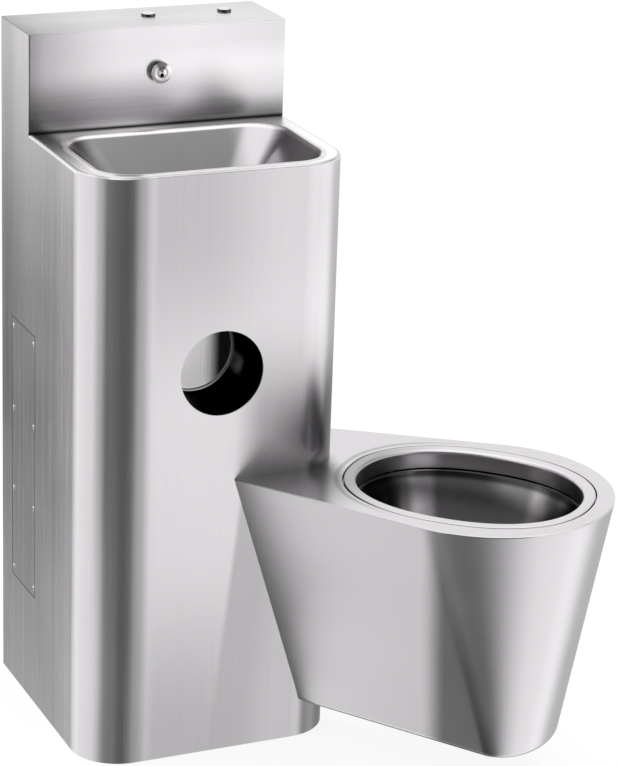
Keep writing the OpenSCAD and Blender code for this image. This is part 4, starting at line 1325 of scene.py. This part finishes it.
class UNIT_OT_studio(Step, Operator):
    """Studio: a pale floor, soft light walls round the unit, and the camera"""
    bl_idname = "unit.studio"
    bl_label = "Studio"

    def execute(self, context):
        context.scene.view_settings.view_transform = "Standard"
        self.make_floor(context)
        self.make_walls(context)
        self.make_camera(context)
        return {"FINISHED"}

    def make_floor(self, context):
        """White paper that the steel mirrors look through, down to the light below."""
        leave()
        bpy.ops.mesh.primitive_plane_add(size=30, location=(0, 0, -0.0006))
        floor = named("floor")
        made = bpy.data.materials.new("floor")
        graph = Graph(made)
        seen = graph.node("ShaderNodeLightPath", output="Is Camera Ray")
        mirrored = graph.node("ShaderNodeLightPath", output="Is Glossy Ray")
        lit = graph.node("ShaderNodeBsdfDiffuse", {"Color": (*context.scene.studio_light.floor, 1)})
        white = graph.node("ShaderNodeEmission", {"Strength": 1.05})
        clear = graph.node("ShaderNodeBsdfTransparent")
        paper = graph.node("ShaderNodeMixShader", {0: seen * 0.82, 1: lit, 2: white})
        shader = graph.node("ShaderNodeMixShader", {0: mirrored, 1: paper, 2: clear})
        graph.node("ShaderNodeOutputMaterial", {"Surface": shader}, output=None)
        floor.data.materials.append(made)

    def make_walls(self, context):
        """Light that changes smoothly round the unit; azimuth is 0 in front and grows to the right."""
        light = context.scene.studio_light
        context.scene.world = bpy.data.worlds.new("studio")
        graph = Graph(context.scene.world)
        x, y, z = graph.axes("Generated")
        azimuth = graph.math("DEGREES", graph.math("ARCTAN2", x, -y))
        elevation = graph.math("DEGREES", graph.math("ARCSINE", z))
        low = graph.fall(elevation, -19, -9)
        level = light.left + (light.right - light.left) * graph.smooth(azimuth, -20, 40)
        level = level * (1 + graph.smooth(elevation, -28, -42) * graph.smooth(azimuth, -60, -80) * 0.12)

        # The dark side in front, whose two edges slant below the floor's edge
        below = graph.math("MINIMUM", elevation + 19.5, 0.0)
        edge = graph.smooth(azimuth - below, -68, -56)
        ramp = graph.smooth(azimuth, graph.math("MAXIMUM", below * 2.0 + 9, -42.0),
                            graph.math("MINIMUM", below * -0.8 + 17, 38.0))
        dark = edge * (1 - ramp) * (1 - light.dark / light.left)

        # A line and a dip in the light on the right, in front of the pan
        dip = graph.smooth(elevation, -21, -25.5) * (1 - graph.smooth(elevation, -27, -37) * 0.5)
        front = graph.band(azimuth, 0, 15, 58, 72) * (
            graph.band(elevation, -19, -16, -15, -13) * 0.12 + dip * 0.30)

        # Dimmer on the left side, behind, straight behind near the floor, and high up
        left = graph.band(azimuth, -138, -116, -76, -64) * 0.2
        rear = graph.band(graph.math("WRAP", azimuth, 220.0, -140.0), 80, 105, 190, 215) * (0.22 + low * 0.33)
        behind = graph.fall(abs(graph.math("WRAP", azimuth + 172, 180.0, -180.0)), 14, 34)
        behind = behind * low * (0.85 - graph.smooth(elevation, -20.5, -24.5) * 0.19)
        high = graph.smooth(elevation, 18, 32) * graph.band(azimuth, -60, -20, 120, 150) * 0.60
        for shade in (left, dark, front, rear, behind, high):
            level = level * (1 - shade)
        up = graph.smooth(elevation, 38, 50)
        level = level * (1 - up) + up * light.overhead
        seen = graph.node("ShaderNodeLightPath", output="Is Camera Ray")
        field, white = (graph.node("ShaderNodeBackground", {"Color": (1, 1, 1, 1), "Strength": strength})
                        for strength in (level, 1.0))
        shader = graph.node("ShaderNodeMixShader", {0: seen, 1: field, 2: white})
        graph.node("ShaderNodeOutputWorld", {"Surface": shader}, output=None)

    def make_camera(self, context):
        """Camera with the photograph's view: its place, turn, tilt and slight roll."""
        place = Vector((-1.4230, -3.6068, 1.8656))
        yaw, pitch, roll = 0.42616, 0.33989, 0.03427
        forward = Vector((sin(yaw) * cos(pitch), cos(yaw) * cos(pitch), -sin(pitch)))
        right = Vector((cos(yaw), -sin(yaw), 0))
        up = right.cross(forward)
        right, up = cos(roll) * right + sin(roll) * up, cos(roll) * up - sin(roll) * right
        data = bpy.data.cameras.new("camera")
        data.lens = 136.0
        data.sensor_width = 36.0
        data.clip_start = 0.1
        camera = bpy.data.objects.new("camera", data)
        context.scene.collection.objects.link(camera)
        camera.matrix_world = Matrix.Translation(place) @ Matrix((right, up, -forward)).transposed().to_4x4()
        context.scene.camera = camera


PROPERTIES = {
    "cabinet_sizes": CabinetSizes,
    "basin_sizes": BasinSizes,
    "pocket_sizes": PocketSizes,
    "pan_sizes": PanSizes,
    "steel_finish": SteelFinish,
    "studio_light": StudioLight,
}
OPERATORS = (
    UNIT_OT_studio,
    UNIT_OT_cabinet,
    UNIT_OT_deck,
    UNIT_OT_upstand,
    UNIT_OT_access,
    UNIT_OT_pocket,
    UNIT_OT_basin,
    UNIT_OT_spout,
    UNIT_OT_buttons,
    UNIT_OT_pan_body,
    UNIT_OT_pan_top,
    UNIT_OT_pan_rim,
    UNIT_OT_pan_bowl,
    UNIT_OT_fittings,
)


class UNIT_PT_panel(Panel):
    """Sidebar panel with a button for each piece"""
    bl_label = "Basin and pan unit"
    bl_idname = "UNIT_PT_panel"
    bl_space_type = "VIEW_3D"
    bl_region_type = "UI"
    bl_category = "Unit"

    def draw(self, context):
        for operator in OPERATORS:
            self.layout.operator(operator.bl_idname)
        for name, group in PROPERTIES.items():
            box = self.layout.box()
            for field in group.__annotations__:
                box.prop(getattr(context.scene, name), field)


def register():
    for group in PROPERTIES.values():
        bpy.utils.register_class(group)
    for name, group in PROPERTIES.items():
        setattr(bpy.types.Scene, name, PointerProperty(type=group))
    for operator in OPERATORS:
        bpy.utils.register_class(operator)
    bpy.utils.register_class(UNIT_PT_panel)


def unregister():
    bpy.utils.unregister_class(UNIT_PT_panel)
    for operator in reversed(OPERATORS):
        bpy.utils.unregister_class(operator)
    for name, group in PROPERTIES.items():
        delattr(bpy.types.Scene, name)
        bpy.utils.unregister_class(group)


def main():
    """Builds the whole scene."""
    register()
    for operator in OPERATORS:
        group, name = operator.bl_idname.split(".")
        getattr(getattr(bpy.ops, group), name)()
    leave()


if __name__ == "__main__":
    main()
